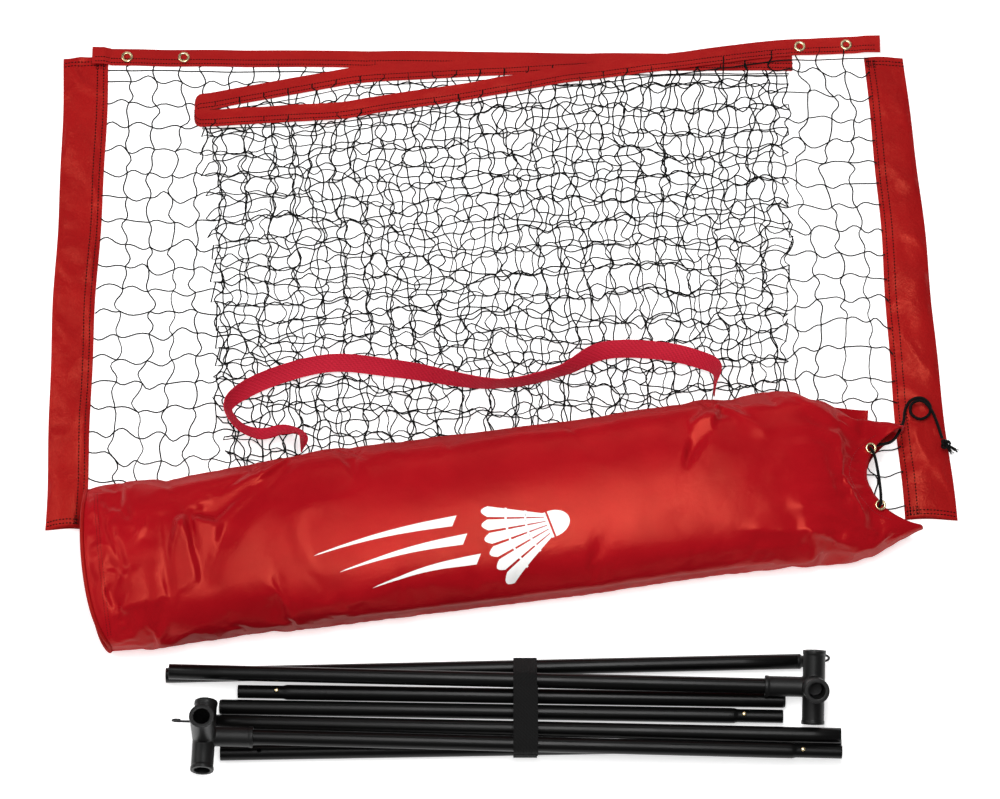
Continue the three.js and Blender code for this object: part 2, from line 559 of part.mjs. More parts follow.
placeFitting('base_fitting_left', 'crossbar_left', THREE.MathUtils.degToRad(-8));
placeFitting('base_fitting_right', 'crossbar_right', THREE.MathUtils.degToRad(-20));

// ---- hook-and-loop strap round the bundle ----
function hull(points) {
  const sorted = points.slice().sort((a, b) => a.x - b.x || a.y - b.y);
  const turnOf = (o, a, b) => (a.x - o.x) * (b.y - o.y) - (a.y - o.y) * (b.x - o.x);
  const half = (list) => {
    const out = [];
    for (const p of list) {
      while (out.length > 1 && turnOf(out[out.length - 2], out[out.length - 1], p) <= 0) out.pop();
      out.push(p);
    }
    out.pop();
    return out;
  };
  return [...half(sorted), ...half(sorted.reverse())];
}
function bundleOutline(free) {
  const points = [];
  for (const [from, to] of Object.values(lines)) {
    const t = (BUNDLE_X - from.x) / (to.x - from.x), p = from.clone().lerp(to, t);
    for (let i = 0; i < 20; i++) {
      const a = (2 * Math.PI * i) / 20, r = TUBE_R + free;
      points.push(new THREE.Vector2(p.y + r * Math.cos(a), p.z + r * Math.sin(a)));
    }
  }
  return hull(points);
}
const strapShape = new THREE.Shape(bundleOutline(BUNDLE_FREE + BUNDLE_T));
strapShape.holes.push(new THREE.Path(bundleOutline(BUNDLE_FREE)));
const loop = new THREE.ExtrudeGeometry(strapShape, { depth: BUNDLE_W, bevelEnabled: false, curveSegments: 1 });
// the outline's plane is YZ, extruded along X
loop.applyMatrix4(new THREE.Matrix4().makeBasis(V(0, 1, 0), V(0, 0, 1), V(1, 0, 0)));
add('bundle_strap', loop.translate(BUNDLE_X - BUNDLE_W / 2, 0, 0), BLACK_CLOTH());

// ---- stand the kit on the floor, centred on the origin ----
const extent = new THREE.Box3();
for (const mesh of kit.children) {
  if (!cords.has(mesh.name)) extent.union(new THREE.Box3().setFromObject(mesh));
}
const middle = extent.getCenter(new THREE.Vector3());
for (const mesh of kit.children) mesh.geometry.translate(-middle.x, -middle.y, -extent.min.z);

export default kit;
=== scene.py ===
"""Looks of the portable badminton net kit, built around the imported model.

The layout repeats the part's own dimensions. They are in design millimetres, and at() puts
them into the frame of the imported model, in metres.
"""
import math
from itertools import product

import bmesh
import bpy
import numpy as np
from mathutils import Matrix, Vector
from mathutils.bvhtree import BVHTree


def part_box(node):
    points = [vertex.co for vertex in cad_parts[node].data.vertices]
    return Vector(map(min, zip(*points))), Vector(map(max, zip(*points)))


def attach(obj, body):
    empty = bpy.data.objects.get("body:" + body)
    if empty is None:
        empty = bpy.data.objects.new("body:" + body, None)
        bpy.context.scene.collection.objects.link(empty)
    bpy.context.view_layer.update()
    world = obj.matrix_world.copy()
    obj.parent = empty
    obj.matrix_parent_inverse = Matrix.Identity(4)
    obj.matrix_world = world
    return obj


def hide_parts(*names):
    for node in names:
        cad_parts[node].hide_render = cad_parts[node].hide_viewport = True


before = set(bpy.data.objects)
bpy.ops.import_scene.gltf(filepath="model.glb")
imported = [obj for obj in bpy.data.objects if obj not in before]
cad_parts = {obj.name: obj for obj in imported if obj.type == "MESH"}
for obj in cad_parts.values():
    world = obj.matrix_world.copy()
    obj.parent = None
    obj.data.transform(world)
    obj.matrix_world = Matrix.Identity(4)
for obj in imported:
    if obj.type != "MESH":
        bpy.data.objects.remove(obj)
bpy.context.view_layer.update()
MM = 0.001
# the part centres its drawing on the origin: two faces of known design place give the shift
STRAP_FACE_X, TAPE_EDGE_Y = 19, 590
SHIFT = np.array([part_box("bundle_strap")[0][0] - STRAP_FACE_X * MM,
                  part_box("header_tape")[1][1] - TAPE_EDGE_Y * MM, 0.0])


def at(points):
    """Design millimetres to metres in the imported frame."""
    return np.asarray(points, float) * MM + SHIFT


# ---- small maths
def ease(t):
    t = np.clip(t, 0, 1)
    return t * t * (3 - 2 * t)


def mix(a, b, t):
    return a + (b - a) * t


def profile(points, x, soften=0.0):
    """Piecewise line through [x, y] points, its corners rounded over soften."""
    xs, ys = zip(*points)
    if not soften:
        return np.interp(x, xs, ys)
    offsets = np.linspace(-soften, soften, 9)
    return sum(np.interp(np.asarray(x) + o, xs, ys) for o in offsets) / len(offsets)


def noise_at(points, cell, seed):
    """Smooth noise from -1 to 1 at (n, k) points, with features about cell long."""
    q = np.asarray(points, float) / cell
    low = np.floor(q)
    f = ease(q - low)
    total = np.zeros(len(q))
    for corner in product((0, 1), repeat=q.shape[1]):
        c = low + np.array(corner)
        h = np.sin(c @ np.array([12.9898, 78.233, 37.719])[: q.shape[1]] + seed * 3.17) * 43758.5453
        value = (h - np.floor(h)) * 2 - 1
        total += value * np.prod(np.where(corner, f, 1 - f), axis=1)
    return total


def ridges(points, cell, seed):
    """Noise with sharp crests, from 0 to 1."""
    return 1 - np.minimum(np.abs(noise_at(points, cell, seed)) * 2.2, 1)


def spline(points, per_span):
    """Centripetal Catmull-Rom line through the points, as the part's own cords and straps run."""
    p = np.array(points, float)
    p = np.vstack([2 * p[0] - p[1], p, 2 * p[-1] - p[-2]])
    out, w = [], np.arange(per_span)[:, None] / per_span
    for i in range(1, len(p) - 2):
        p0, p1, p2, p3 = p[i - 1:i + 3]
        d0, d1, d2 = (max(np.linalg.norm(b - a), 1e-6) ** 0.5 for a, b in ((p0, p1), (p1, p2), (p2, p3)))
        t1 = ((p1 - p0) / d0 - (p2 - p0) / (d0 + d1) + (p2 - p1) / d1) * d1
        t2 = ((p2 - p1) / d1 - (p3 - p1) / (d1 + d2) + (p3 - p2) / d2) * d1
        second, third = 3 * (p2 - p1) - 2 * t1 - t2, 2 * (p1 - p2) + t1 + t2
        out.append(p1 + t1 * w + second * w ** 2 + third * w ** 3)
    return np.vstack(out + [p[-2][None]])


def unit(v):
    return v / np.maximum(np.linalg.norm(v, axis=-1, keepdims=True), 1e-9)


def distances(points):
    """Distance along a line at each of its points."""
    return np.r_[0, np.cumsum(np.linalg.norm(np.diff(points, axis=0), axis=1))]


def on_line(s, d, points):
    """Places at distances s on a line whose own points lie at distances d."""
    return np.stack([np.interp(s, d, points[:, k]) for k in range(3)], 1)


def spaced(points, step):
    """The same line with points about step apart."""
    d = distances(points)
    return on_line(np.linspace(0, d[-1], max(int(d[-1] / step), 2) + 1), d, points)


def pairs(a, b):
    """Every pair of a and b as two flat arrays, b running fastest."""
    return (m.ravel() for m in np.meshgrid(a, b, indexing="ij"))


# ---- materials
def tree_of(name):
    material = bpy.data.materials.new(name)
    material.use_nodes = True
    tree = material.node_tree
    return material, tree, tree.nodes["Principled BSDF"]


def feed(tree, node, inputs):
    """Links or sets each input of a node."""
    for key, value in inputs.items():
        if isinstance(value, bpy.types.NodeSocket):
            tree.links.new(value, node.inputs[key])
        else:
            node.inputs[key].default_value = value


def add_node(tree, kind, inputs=(), **settings):
    node = tree.nodes.new(kind)
    for key, value in settings.items():
        setattr(node, key, value)
    feed(tree, node, dict(inputs))
    return node


def noise_node(tree, where, scale, detail=3.0, rough=0.5, distortion=0.0):
    return add_node(tree, "ShaderNodeTexNoise", {"Vector": where, "Scale": scale, "Detail": detail,
                    "Roughness": rough, "Distortion": distortion}).outputs["Fac"]


def remap(tree, value, low, high, to_low, to_high):
    return add_node(tree, "ShaderNodeMapRange", {"Value": value, "From Min": low, "From Max": high,
                    "To Min": to_low, "To Max": to_high}).outputs["Result"]


def blend_colour(tree, factor, a, b):
    node = add_node(tree, "ShaderNodeMix", data_type="RGBA")
    tree.links.new(factor, node.inputs["Factor"])
    for key, value in (("A", a), ("B", b)):
        socket = [s for s in node.inputs if s.name == key and s.type == "RGBA"][0]
        if isinstance(value, bpy.types.NodeSocket):
            tree.links.new(value, socket)
        else:
            socket.default_value = (*value, 1)
    return [s for s in node.outputs if s.type == "RGBA"][0]


def math_node(tree, operation, a, b):
    return add_node(tree, "ShaderNodeMath", {0: a, 1: b}, operation=operation).outputs[0]


def bands(tree, where, period, axis):
    """Sine bands across the given axis with the given period in metres."""
    return add_node(tree, "ShaderNodeTexWave", {"Vector": where, "Scale": 0.314159 / period},
                    wave_type="BANDS", bands_direction=axis).outputs["Fac"]


def bump(tree, height, distance, strength, normal=None):
    inputs = {"Height": height, "Distance": distance, "Strength": strength}
    if normal is not None:
        inputs["Normal"] = normal
    return add_node(tree, "ShaderNodeBump", inputs).outputs["Normal"]


def placed(tree, turn=0.0, stretch=(1, 1, 1)):
    where = add_node(tree, "ShaderNodeTexCoord").outputs["Object"]
    return add_node(tree, "ShaderNodeMapping", {"Vector": where, "Rotation": (0, 0, turn),
                                                "Scale": stretch}).outputs["Vector"]


WEAVE_PITCH = 0.00062


def nylon(name, colour, dark, turn, rough, crinkle):
    """Coated woven nylon: fine weave under a smooth face, with small crinkles."""
    material, tree, shader = tree_of(name)
    where = placed(tree, turn)
    cloud = remap(tree, noise_node(tree, where, 7.0, 4.0, 0.6), 0.3, 0.7, 0, 1)
    grain = remap(tree, noise_node(tree, where, 900.0, 2.0), 0.35, 0.75, 0, 0.22)
    tone = blend_colour(tree, cloud, dark, colour)
    tone = blend_colour(tree, grain, tone, tuple(0.55 * c for c in dark))
    gloss = remap(tree, noise_node(tree, where, 30.0), 0.3, 0.7, rough - 0.03, rough + 0.06)
    facing = add_node(tree, "ShaderNodeLayerWeight", {"Blend": 0.5}).outputs["Facing"]
    # the coat is thin: its shine gives way to the dull weave at a flat angle
    dull = remap(tree, facing, 0.45, 0.8, 0.0, 0.62)
    warp, weft = (bands(tree, where, WEAVE_PITCH, axis) for axis in "XY")
    normal = bump(tree, noise_node(tree, where, 38.0, 5.0, 0.62, 0.4), 0.0045, crinkle)
    normal = bump(tree, noise_node(tree, where, 170.0, 3.0), 0.0004, 0.2, normal)
    normal = bump(tree, math_node(tree, "MULTIPLY", warp, weft), 0.0001, 0.35, normal)
    # a coated red face: most of its gloss is red, and little of it whitens towards the edges
    feed(tree, shader, {"Base Color": tone, "Roughness": math_node(tree, "ADD", gloss, dull),
                        "Normal": normal, "Metallic": 0.08, "IOR": 1.38, "Specular IOR Level": 0.20,
                        "Specular Tint": (1.0, 0.72, 0.36, 1)})
    return material


def webbing_material(name, colour, dark, rib, rough=0.75):
    """Woven webbing: ribs across the tape and herringbone rows along it, laid out by UV metres."""
    material, tree, shader = tree_of(name)
    where = add_node(tree, "ShaderNodeUVMap", uv_map="metres").outputs["UV"]
    across, along = bands(tree, where, rib, "X"), bands(tree, where, rib * 1.3, "Y")
    diagonal = bands(tree, where, rib * 1.6, "DIAGONAL")
    weave = math_node(tree, "ADD", math_node(tree, "MULTIPLY", across, along),
                      math_node(tree, "MULTIPLY", diagonal, 0.5))
    patch = remap(tree, noise_node(tree, placed(tree), 16.0, 4.0), 0.35, 0.7, 0, 0.35)
    tone = blend_colour(tree, remap(tree, weave, 0.1, 1.0, 0, 1), dark, colour)
    feed(tree, shader, {"Base Color": blend_colour(tree, patch, tone, dark), "Roughness": rough,
                        "Specular IOR Level": 0.2, "Normal": bump(tree, weave, 0.0004, 0.8)})
    return material


def plain_material(name, colour, dark, rough, scale, spread=0.08, metal=0.0, depth=0.0002,
                   strength=0.3, stretch=(1, 1, 1), specular=0.5):
    """One finish with its own colour variation, uneven gloss and surface grain."""
    material, tree, shader = tree_of(name)
    where = placed(tree, stretch=stretch)
    fine = noise_node(tree, where, scale, 4.0, 0.6)
    broad = noise_node(tree, where, scale / 12, 3.0)
    share = remap(tree, math_node(tree, "MULTIPLY", fine, broad), 0.1, 0.5, 0, 1)
    feed(tree, shader, {"Base Color": blend_colour(tree, share, dark, colour),
                        "Roughness": remap(tree, fine, 0.25, 0.75, rough - spread, rough + spread),
                        "Normal": bump(tree, fine, depth, strength), "Metallic": metal,
                        "Specular IOR Level": specular})
    return material


BAG_TURN = math.radians(7.2)
BAG_NYLON = nylon("bag_nylon", (0.44, 0.006, 0.012), (0.33, 0.003, 0.008), -BAG_TURN, 0.16, 0.12)
SLEEVE_NYLON = nylon("sleeve_nylon", (0.42, 0.010, 0.011), (0.32, 0.006, 0.008), 0.0, 0.27, 0.4)
TAPE_NYLON = nylon("tape_nylon", (0.42, 0.011, 0.012), (0.33, 0.007, 0.010), 0.0, 0.36, 0.3)
PIPING_NYLON = nylon("piping_nylon", (0.40, 0.008, 0.010), (0.28, 0.004, 0.006), 0.0, 0.4, 0.2)
RED_WEBBING = webbing_material("red_webbing", (0.60, 0.012, 0.040), (0.40, 0.005, 0.020), 0.0021)
HOOK_AND_LOOP = webbing_material("hook_and_loop", [0.008] * 3, [0.003] * 3, 0.0017, 0.9)
TWINE = plain_material("twine", [0.006] * 3, [0.002] * 3, 0.75, 1500, depth=0.0003, specular=0.15)
THREAD = plain_material("stitch_thread", [0.004] * 3, [0.002] * 3, 0.7, 2500, specular=0.1)
RED_THREAD = plain_material("red_thread", (0.30, 0.006, 0.014), (0.16, 0.003, 0.008), 0.6, 2500)
CORD = plain_material("braided_cord", [0.0035] * 3, [0.0015] * 3, 0.8, 700, depth=0.0006, strength=0.9,
                      specular=0.15)
BRASS = plain_material("brass", (0.88, 0.76, 0.50), (0.62, 0.47, 0.24), 0.24, 300, metal=1.0)
PAINT = plain_material("tube_paint", (0.0034, 0.0032, 0.0031), [0.002] * 3, 0.30, 160, spread=0.06,
                       stretch=(0.06, 1, 1), depth=0.00015, specular=0.16)
PLASTIC = plain_material("moulded_plastic", [0.007] * 3, [0.004] * 3, 0.42, 900, depth=0.0001,
                         strength=0.35, specular=0.25)
WIRE = plain_material("hook_wire", (0.05, 0.05, 0.052), [0.018] * 3, 0.35, 400, metal=0.8)
PRINT = plain_material("print_ink", (0.97, 0.97, 0.96), (0.90, 0.89, 0.87), 0.38, 240)


# ---- mesh building
def smooth_shading(mesh, degrees):
    mesh.polygons.foreach_set("use_smooth", [True] * len(mesh.polygons))
    mesh.set_sharp_from_angle(angle=math.radians(degrees))


def linked(name, mesh):
    obj = bpy.data.objects.new(name, mesh)
    bpy.context.scene.collection.objects.link(obj)
    return obj


def new_mesh(name, verts, faces):
    """A mesh from design-millimetre vertices."""
    mesh = bpy.data.meshes.new(name)
    mesh.from_pydata(at(verts).tolist(), [], [tuple(int(i) for i in f) for f in faces])
    return mesh


def turn_outwards(mesh, weld=False):
    bm = bmesh.new()
    bm.from_mesh(mesh)
    if weld:
        bmesh.ops.remove_doubles(bm, verts=bm.verts, dist=5e-6)
        bmesh.ops.holes_fill(bm, edges=bm.edges)
    bmesh.ops.recalc_face_normals(bm, faces=bm.faces)
    bm.to_mesh(mesh)
    bm.free()


def claim(obj, body, nodes=()):
    """Says which body a piece rides on and which nodes it stands for."""
    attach(obj, body)
    if nodes:
        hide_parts(*nodes)


def piece(name, verts, faces, material, body, nodes=(), uv=None):
    """A smooth mesh of one finish, riding on a body; uv is in design millimetres too."""
    mesh = new_mesh(name, verts, faces)
    mesh.validate()
    mesh.materials.append(material)
    if uv is not None:
        layer = mesh.uv_layers.new(name="metres")
        index = np.zeros(len(mesh.loops), int)
        mesh.loops.foreach_get("vertex_index", index)
        layer.data.foreach_set("uv", (np.asarray(uv)[index] * MM).astype(np.float32).ravel())
    turn_outwards(mesh)
    smooth_shading(mesh, 48)
    obj = linked(name, mesh)
    claim(obj, body, nodes)
    return obj


def thicken(obj, thickness, offset):
    wall = obj.modifiers.new("wall", "SOLIDIFY")
    wall.thickness, wall.offset = thickness * MM, offset


def grid_faces(rows, columns, looped=False, closed=True):
    """Quads of a grid of points. closed joins the last column to the first, looped the last row."""
    i = np.arange(rows - 1)[:, None] * columns
    j = np.arange(columns if closed else columns - 1)[None, :]
    k = (j + 1) % columns
    faces = np.stack([i + j, i + k, i + columns + k, i + columns + j], -1).reshape(-1, 4).tolist()
    if looped:
        last = (rows - 1) * columns
        faces += [(last + k, last + (k + 1) % columns, (k + 1) % columns, k) for k in range(columns)]
    return faces


def fan(ring, middle, flip=False):
    n = len(ring)
    return [(ring[(k + 1) % n], ring[k], middle) if flip else (ring[k], ring[(k + 1) % n], middle)
            for k in range(n)]


class Shape:
    """Gathers grids, tubes and stitches into one mesh."""

    def __init__(self):
        self.verts, self.faces, self.uv, self.count = [], [], None, 0

    def add(self, verts, faces):
        verts = np.asarray(verts, float).reshape(-1, 3)
        self.faces += [tuple(i + self.count for i in f) for f in faces]
        self.verts.append(verts)
        self.count += len(verts)

    def slab(self, top, under, uv=None, looped=False):
        """Two grids of points, back to back, joined along their edges; looped joins the ends."""
        grid = np.concatenate([top, under[:, ::-1]], 1)
        n, m = grid.shape[:2]
        ends = [] if looped else [tuple(range(m)), tuple(reversed(range((n - 1) * m, n * m)))]
        self.add(grid, grid_faces(n, m, looped) + ends)
        if uv is not None:
            self.uv = np.concatenate([uv, uv[:, ::-1]], 1).reshape(-1, 2)

    def diamonds(self, middle, along, side, up):
        """Small eight-sided solids, each from its middle and three half axes."""
        verts = np.stack([middle + v for v in (along, side, up, -side, -up, -along)], 1)
        template = [(0, 1, 2), (0, 2, 3), (0, 3, 4), (0, 4, 1), (5, 2, 1), (5, 3, 2), (5, 4, 3), (5, 1, 4)]
        self.add(verts, [tuple(6 * k + i for i in f) for k in range(len(middle)) for f in template])

    def tube(self, path, radius, sides=8, looped=False):
        path = np.asarray(path, float)
        along = unit(np.roll(path, -1, 0) - np.roll(path, 1, 0) if looped else np.gradient(path, axis=0))
        side = np.zeros_like(along)
        guide = np.array([0, 0, 1.0]) if abs(along[0][2]) < 0.9 else np.array([1.0, 0, 0])
        side[0] = unit(np.cross(guide, along[0]))
        for k in range(1, len(path)):
            side[k] = unit(side[k - 1] - along[k] * (side[k - 1] @ along[k]))
        up = np.cross(along, side)
        angle = 2 * np.pi * np.arange(sides) / sides
        r = np.broadcast_to(np.asarray(radius, float), (len(path),))[:, None, None]
        ring = path[:, None] + r * (side[:, None] * np.cos(angle)[:, None]
                                    + up[:, None] * np.sin(angle)[:, None])
        n = len(path)
        faces = grid_faces(n, sides, looped)
        verts = ring.reshape(-1, 3)
        if not looped:
            verts = np.vstack([verts, path[0], path[-1]])
            faces += fan(list(range(sides)), n * sides, True)
            faces += fan(list(range((n - 1) * sides, n * sides)), n * sides + 1)
        self.add(verts, faces)

    def stitch_row(self, line, normal, pitch=4.2, length=3.8, radius=0.95):
        """Short thread stitches along a line that lies on cloth."""
        d = distances(line)
        s = np.arange(pitch / 2, d[-1], pitch)
        up = unit(on_line(s, d, normal))
        along = unit(on_line(s + 0.6, d, line) - on_line(s - 0.6, d, line))
        self.diamonds(on_line(s, d, line) + up * 0.2, along * length / 2, np.cross(up, along) * radius,
                      up * radius)

    def lathe(self, outline, axes, sides=48):
        """A turned body from closed [x, radius] points, placed by (origin, x, y, z)."""
        origin, x, y, z = axes
        outline = np.asarray(outline, float)
        angle = 2 * np.pi * np.arange(sides) / sides
        ring = (origin + outline[:, None, :1] * x
                + outline[:, None, 1:] * (y * np.cos(angle)[:, None] + z * np.sin(angle)[:, None]))
        self.add(ring, grid_faces(len(outline), sides))

    def done(self, name, material, body, *nodes):
        return piece(name, np.vstack(self.verts), self.faces, material, body, nodes, self.uv)


def surface_rows(surface, us, vs):
    """Points and normals of a surface function over arrays of u and v."""
    p = surface(us, vs)
    du, dv = surface(us + 0.5, vs) - p, surface(us, vs + 0.5) - p
    n = unit(np.cross(du, dv))
    n = np.where(n[:, 2:] < 0, -n, n)
    return p, n


# ---- camera, light and floor
VIEW_HEIGHT, VIEW_DISTANCE, LENS, SENSOR = math.radians(70), 5.64, 137, 36
# name, place, aim, width, depth, power
SOFT_BOXES = [
    ("back_box", (0.5, 2.3, 2.1), (0.1, 0.0, 0), 2.4, 0.5, 7),
    ("left_box", (-2.4, 0.6, 1.9), (-0.2, -0.1, 0), 0.5, 1.2, 12),
    ("top_box", (0.12, -0.16, 2.7), (0.1, -0.16, 0), 1.9, 0.62, 46),
]
SKY, FLOOR_GLOW, SUN, SUN_SPREAD = 0.20, 0.55, 0.85, math.radians(60)
SUN_TURN = (math.radians(8), math.radians(-24), 0)
FLOOR_HALF, FLOOR_Z = 9.0, -0.0004


def studio():
    scene = bpy.context.scene
    camera = bpy.data.cameras.new("camera")
    camera.lens, camera.sensor_width = LENS, SENSOR
    eye = linked("camera", camera)
    away = Vector((0, -math.cos(VIEW_HEIGHT), math.sin(VIEW_HEIGHT)))
    eye.location = Vector(at([0, 0, 0])) + VIEW_DISTANCE * away
    eye.rotation_euler = (math.pi / 2 - VIEW_HEIGHT, 0, 0)
    scene.camera = eye
    scene.view_settings.view_transform = "Standard"

    scene.world = bpy.data.worlds.new("studio")
    scene.world.use_nodes = True
    tree = scene.world.node_tree
    feed(tree, tree.nodes["Background"], {"Color": (1, 1, 1, 1), "Strength": SKY})

    for name, place, aim, width, depth, power in SOFT_BOXES:
        light = bpy.data.lights.new(name, "AREA")
        light.shape, light.size, light.size_y, light.energy = "RECTANGLE", width, depth, power
        lamp = linked(name, light)
        lamp.location = place
        lamp.rotation_euler = (Vector(aim) - Vector(place)).to_track_quat("-Z", "Y").to_euler()
    sun = bpy.data.lights.new("overall", "SUN")
    sun.energy, sun.angle = SUN, SUN_SPREAD
    linked("overall", sun).rotation_euler = SUN_TURN

    material, tree, shader = tree_of("pale_floor")
    patch = noise_node(tree, placed(tree), 3.0, 2.0)
    tone = blend_colour(tree, patch, [0.93] * 3, [0.95] * 3)
    feed(tree, shader, {"Base Color": tone, "Roughness": 0.9, "Specular IOR Level": 0.0,
                        "Emission Color": (1, 1, 1, 1), "Emission Strength": FLOOR_GLOW})
    mesh = bpy.data.meshes.new("floor")
    s = FLOOR_HALF
    mesh.from_pydata([(-s, -s, 0), (s, -s, 0), (s, s, 0), (-s, s, 0)], [], [(0, 1, 2, 3)])
    mesh.materials.append(material)
    floor = linked("floor", mesh)
    floor.location.z = FLOOR_Z


studio()

# ---- header tape and netting
NET_BOTTOM_Y = -205
TAPE_W, TAPE_T = 28, 1.2
TAPE_Z = [1.9, 4.1, 6.4]
MESH_Z = [1.0, 3.7, 6.4]
RUNS = [
    [[-596, 557], [-470, 556], [-200, 554], [150, 550], [446, 548]],
    [[446, 548], [153, 549], [-61, 536], [-214, 528], [-455, 480]],
    [[-455, 452], [-244, 465], [-26, 502], [98, 526], [245, 546], [348, 559], [430, 571], [556, 576]],
]
RUN_ENDS = [(-624, 446), (446, -455), (-455, 582)]
LEFT_SIDE, RIGHT_SIDE = [[-205, -609], [540, -600]], [[-205, 596], [560, 563]]
LEFT_FOLD, RIGHT_FOLD = [[-205, -402], [452, -452]], [[-205, 424], [548, 444]]
SIDES = [(LEFT_SIDE, RIGHT_FOLD), (RIGHT_FOLD, LEFT_FOLD), (LEFT_FOLD, RIGHT_SIDE)]
SLEEVE_REACH = -594, 545  # beyond these the tape lies on top of the pole sleeves


def run_y(layer, x):
    return profile(sorted(RUNS[layer]), x, 25)


def tape_line():
    """Middle line of the tape through its three runs and two folds, with each point's layer."""
    points, layers = [], []
    for layer, (x0, x1) in enumerate(RUN_ENDS):
        x = np.linspace(x0, x1, int(abs(x1 - x0) / 6) + 1)
        z = np.full(len(x), float(TAPE_Z[layer]))
        points.append(np.stack([x, run_y(layer, x), z], 1))
        layers.append(np.full(len(x), float(layer)))
        if layer < 2:
            x2, z2 = RUN_ENDS[layer + 1][0], TAPE_Z[layer + 1]
            side = 1 if layer == 0 else -1
            a = np.radians(np.linspace(20, 160, 8))  # half a turn round the fold
            r = (z2 - z[-1]) / 2
            y = mix(run_y(layer, x1), run_y(layer + 1, x2), (1 - np.cos(a)) / 2)
            reach = side * (r + (2 if layer == 0 else 9)) * np.sin(a)
            points.append(np.stack([x1 + reach, y, z[-1] + r - r * np.cos(a)], 1))
            layers.append(layer + np.linspace(0.1, 0.9, 8))
    return np.vstack(points), np.concatenate(layers)


TAPE_LINE, TAPE_LAYER = tape_line()
TAPE_DISTANCE = distances(TAPE_LINE)


def tape_surface(s, v):
    """Point on the tape's upper face at distance s along it and v above its lower edge."""
    p = on_line(s, TAPE_DISTANCE, TAPE_LINE)
    layer = np.interp(s, TAPE_DISTANCE, TAPE_LAYER)
    loose = np.where(layer > 1.5, 1.5, 0.5)
    wave = noise_at(np.stack([s, v * 2], 1), 46, 3) + 0.5 * noise_at(np.stack([s, v * 3], 1), 21, 5)
    p[:, 1] += v - TAPE_W / 2 + 0.9 * noise_at(s[:, None], 60, 9)
    p[:, 2] += loose * (wave + 0.6) * 0.8 + np.where(layer > 1.5, 0.5, 0)
    left, right = SLEEVE_REACH
    p[:, 2] += 6.5 * ease((left - p[:, 0]) / 12) + 3.0 * ease((p[:, 0] - right) / 16)
    return p


def header_tape():
    columns = 9
    s, v = pairs(np.linspace(0, TAPE_DISTANCE[-1], 520), np.linspace(0, TAPE_W, columns))
    top = tape_surface(s, v).reshape(-1, columns, 3)
    shape, stitches = Shape(), Shape()
    shape.slab(top, top - [0, 0, TAPE_T])
    tape = shape.done("header_tape_cloth", TAPE_NYLON, "net", "header_tape")
    for height in (4.5, 11.5):
        along = np.arange(4, TAPE_DISTANCE[-1] - 4, 3.0)
        stitches.stitch_row(*surface_rows(tape_surface, along, np.full(len(along), height)))
    stitches.done("header_tape_stitches", THREAD, "net")
    return tape


def net_point(layer, t, down, loose):
    """Point of one layer of netting at share t of its run and share down of its depth."""
    left, right = SIDES[layer]
    y = mix(560, NET_BOTTOM_Y, down)
    x = mix(profile(left, y), profile(right, y), t)
    top = run_y(layer, x) - 3
    y = mix(top, NET_BOTTOM_Y, down)
    x = mix(profile(left, y), profile(right, y), t)
    flat = np.stack([x, y], 1)
    sway = 9 + 9 * loose
    sx = sway * noise_at(flat, 120, 11 + layer) + 5.0 * noise_at(flat, 31, 21 + layer)
    sy = sway * noise_at(flat, 105, 31 + layer) + 5.0 * noise_at(flat, 28, 41 + layer)
    hold = ease(down * 8) * ease((1 - down) * 18)
    sides = ease((1 - np.abs(t * 2 - 1)) * 12) if layer == 1 else ease((1 - t if layer == 2 else t) * 14)
    x = x + sx * hold * sides
    y = np.minimum(y + sy * hold, top - 12 * ease((down - 0.02) / 0.03))
    lift = 1.4 * loose * (noise_at(flat, 34, 61 + layer) + 0.6)
    z = MESH_Z[layer] + 0.8 * noise_at(flat, 17, 51 + layer) + lift
    return np.stack([x, y, np.maximum(z, 0.9)], 1)


MESHES_LONG, MESHES_DEEP, STEPS = 80, 20, 6  # steps of a strand from knot to knot
TWINE_R, BOTTOM_ROPE_R, KNOT = 1.08, 1.3, (1.9, 1.6, 1.3)
# where the folds fall, as a count of meshes from the left end
FOLD_AT = np.array([0.0, 1042, 1947, 2967]) / 2967 * MESHES_LONG


def knot_places(column, row):
    """Columns and rows of the net, whole or not, to points of its folded layers."""
    layer = np.clip(np.searchsorted(FOLD_AT, column, side="right") - 1, 0, 2)
    p = np.zeros((len(column), 3))
    for k in range(3):
        pick = layer == k
        if pick.any():
            t = (column[pick] - FOLD_AT[k]) / (FOLD_AT[k + 1] - FOLD_AT[k])
            p[pick] = net_point(k, t, row[pick] / MESHES_DEEP, 1.0 if k else 0.0)
    return p


def slack(a, seed, size):
    """Sideways wave of a strand between its knots, as slack twine lies."""
    f = a - np.floor(a)
    swing = noise_at(np.stack([np.floor(a), np.full(len(a), float(seed))], 1), 1.0, seed)
    second = 0.5 * size * np.sin(2 * np.pi * f) * np.cos(seed * 2.4 + np.floor(a))
    return size * swing * np.sin(np.pi * f) + second


def netting():
    """Knotted twine, folded in three layers."""
    shape = Shape()
    row = np.arange(0, MESHES_DEEP * STEPS + 1) / STEPS
    for c in range(1, MESHES_LONG):
        shape.tube(knot_places(c + slack(row, c, 0.21) * (row > 0.2), row), TWINE_R, 4)
    column = np.arange(0, MESHES_LONG * STEPS + 1) / STEPS
    for r in range(0, MESHES_DEEP + 1):
        inner = 0 < r < MESHES_DEEP
        down = np.full(len(column), r + (0.5 if r == 0 else 0.0)) + slack(column, r + 200, 0.20) * inner
        radius = BOTTOM_ROPE_R if r == MESHES_DEEP else TWINE_R
        shape.tube(knot_places(column, np.clip(down, 0, MESHES_DEEP)), radius, 4)
    c, r = pairs(np.arange(1.0, MESHES_LONG), np.arange(1.0, MESHES_DEEP + 1))
    shape.diamonds(knot_places(c, r), *np.diag(KNOT))
    return shape.done("net_twine", TWINE, "net", "net_mesh")


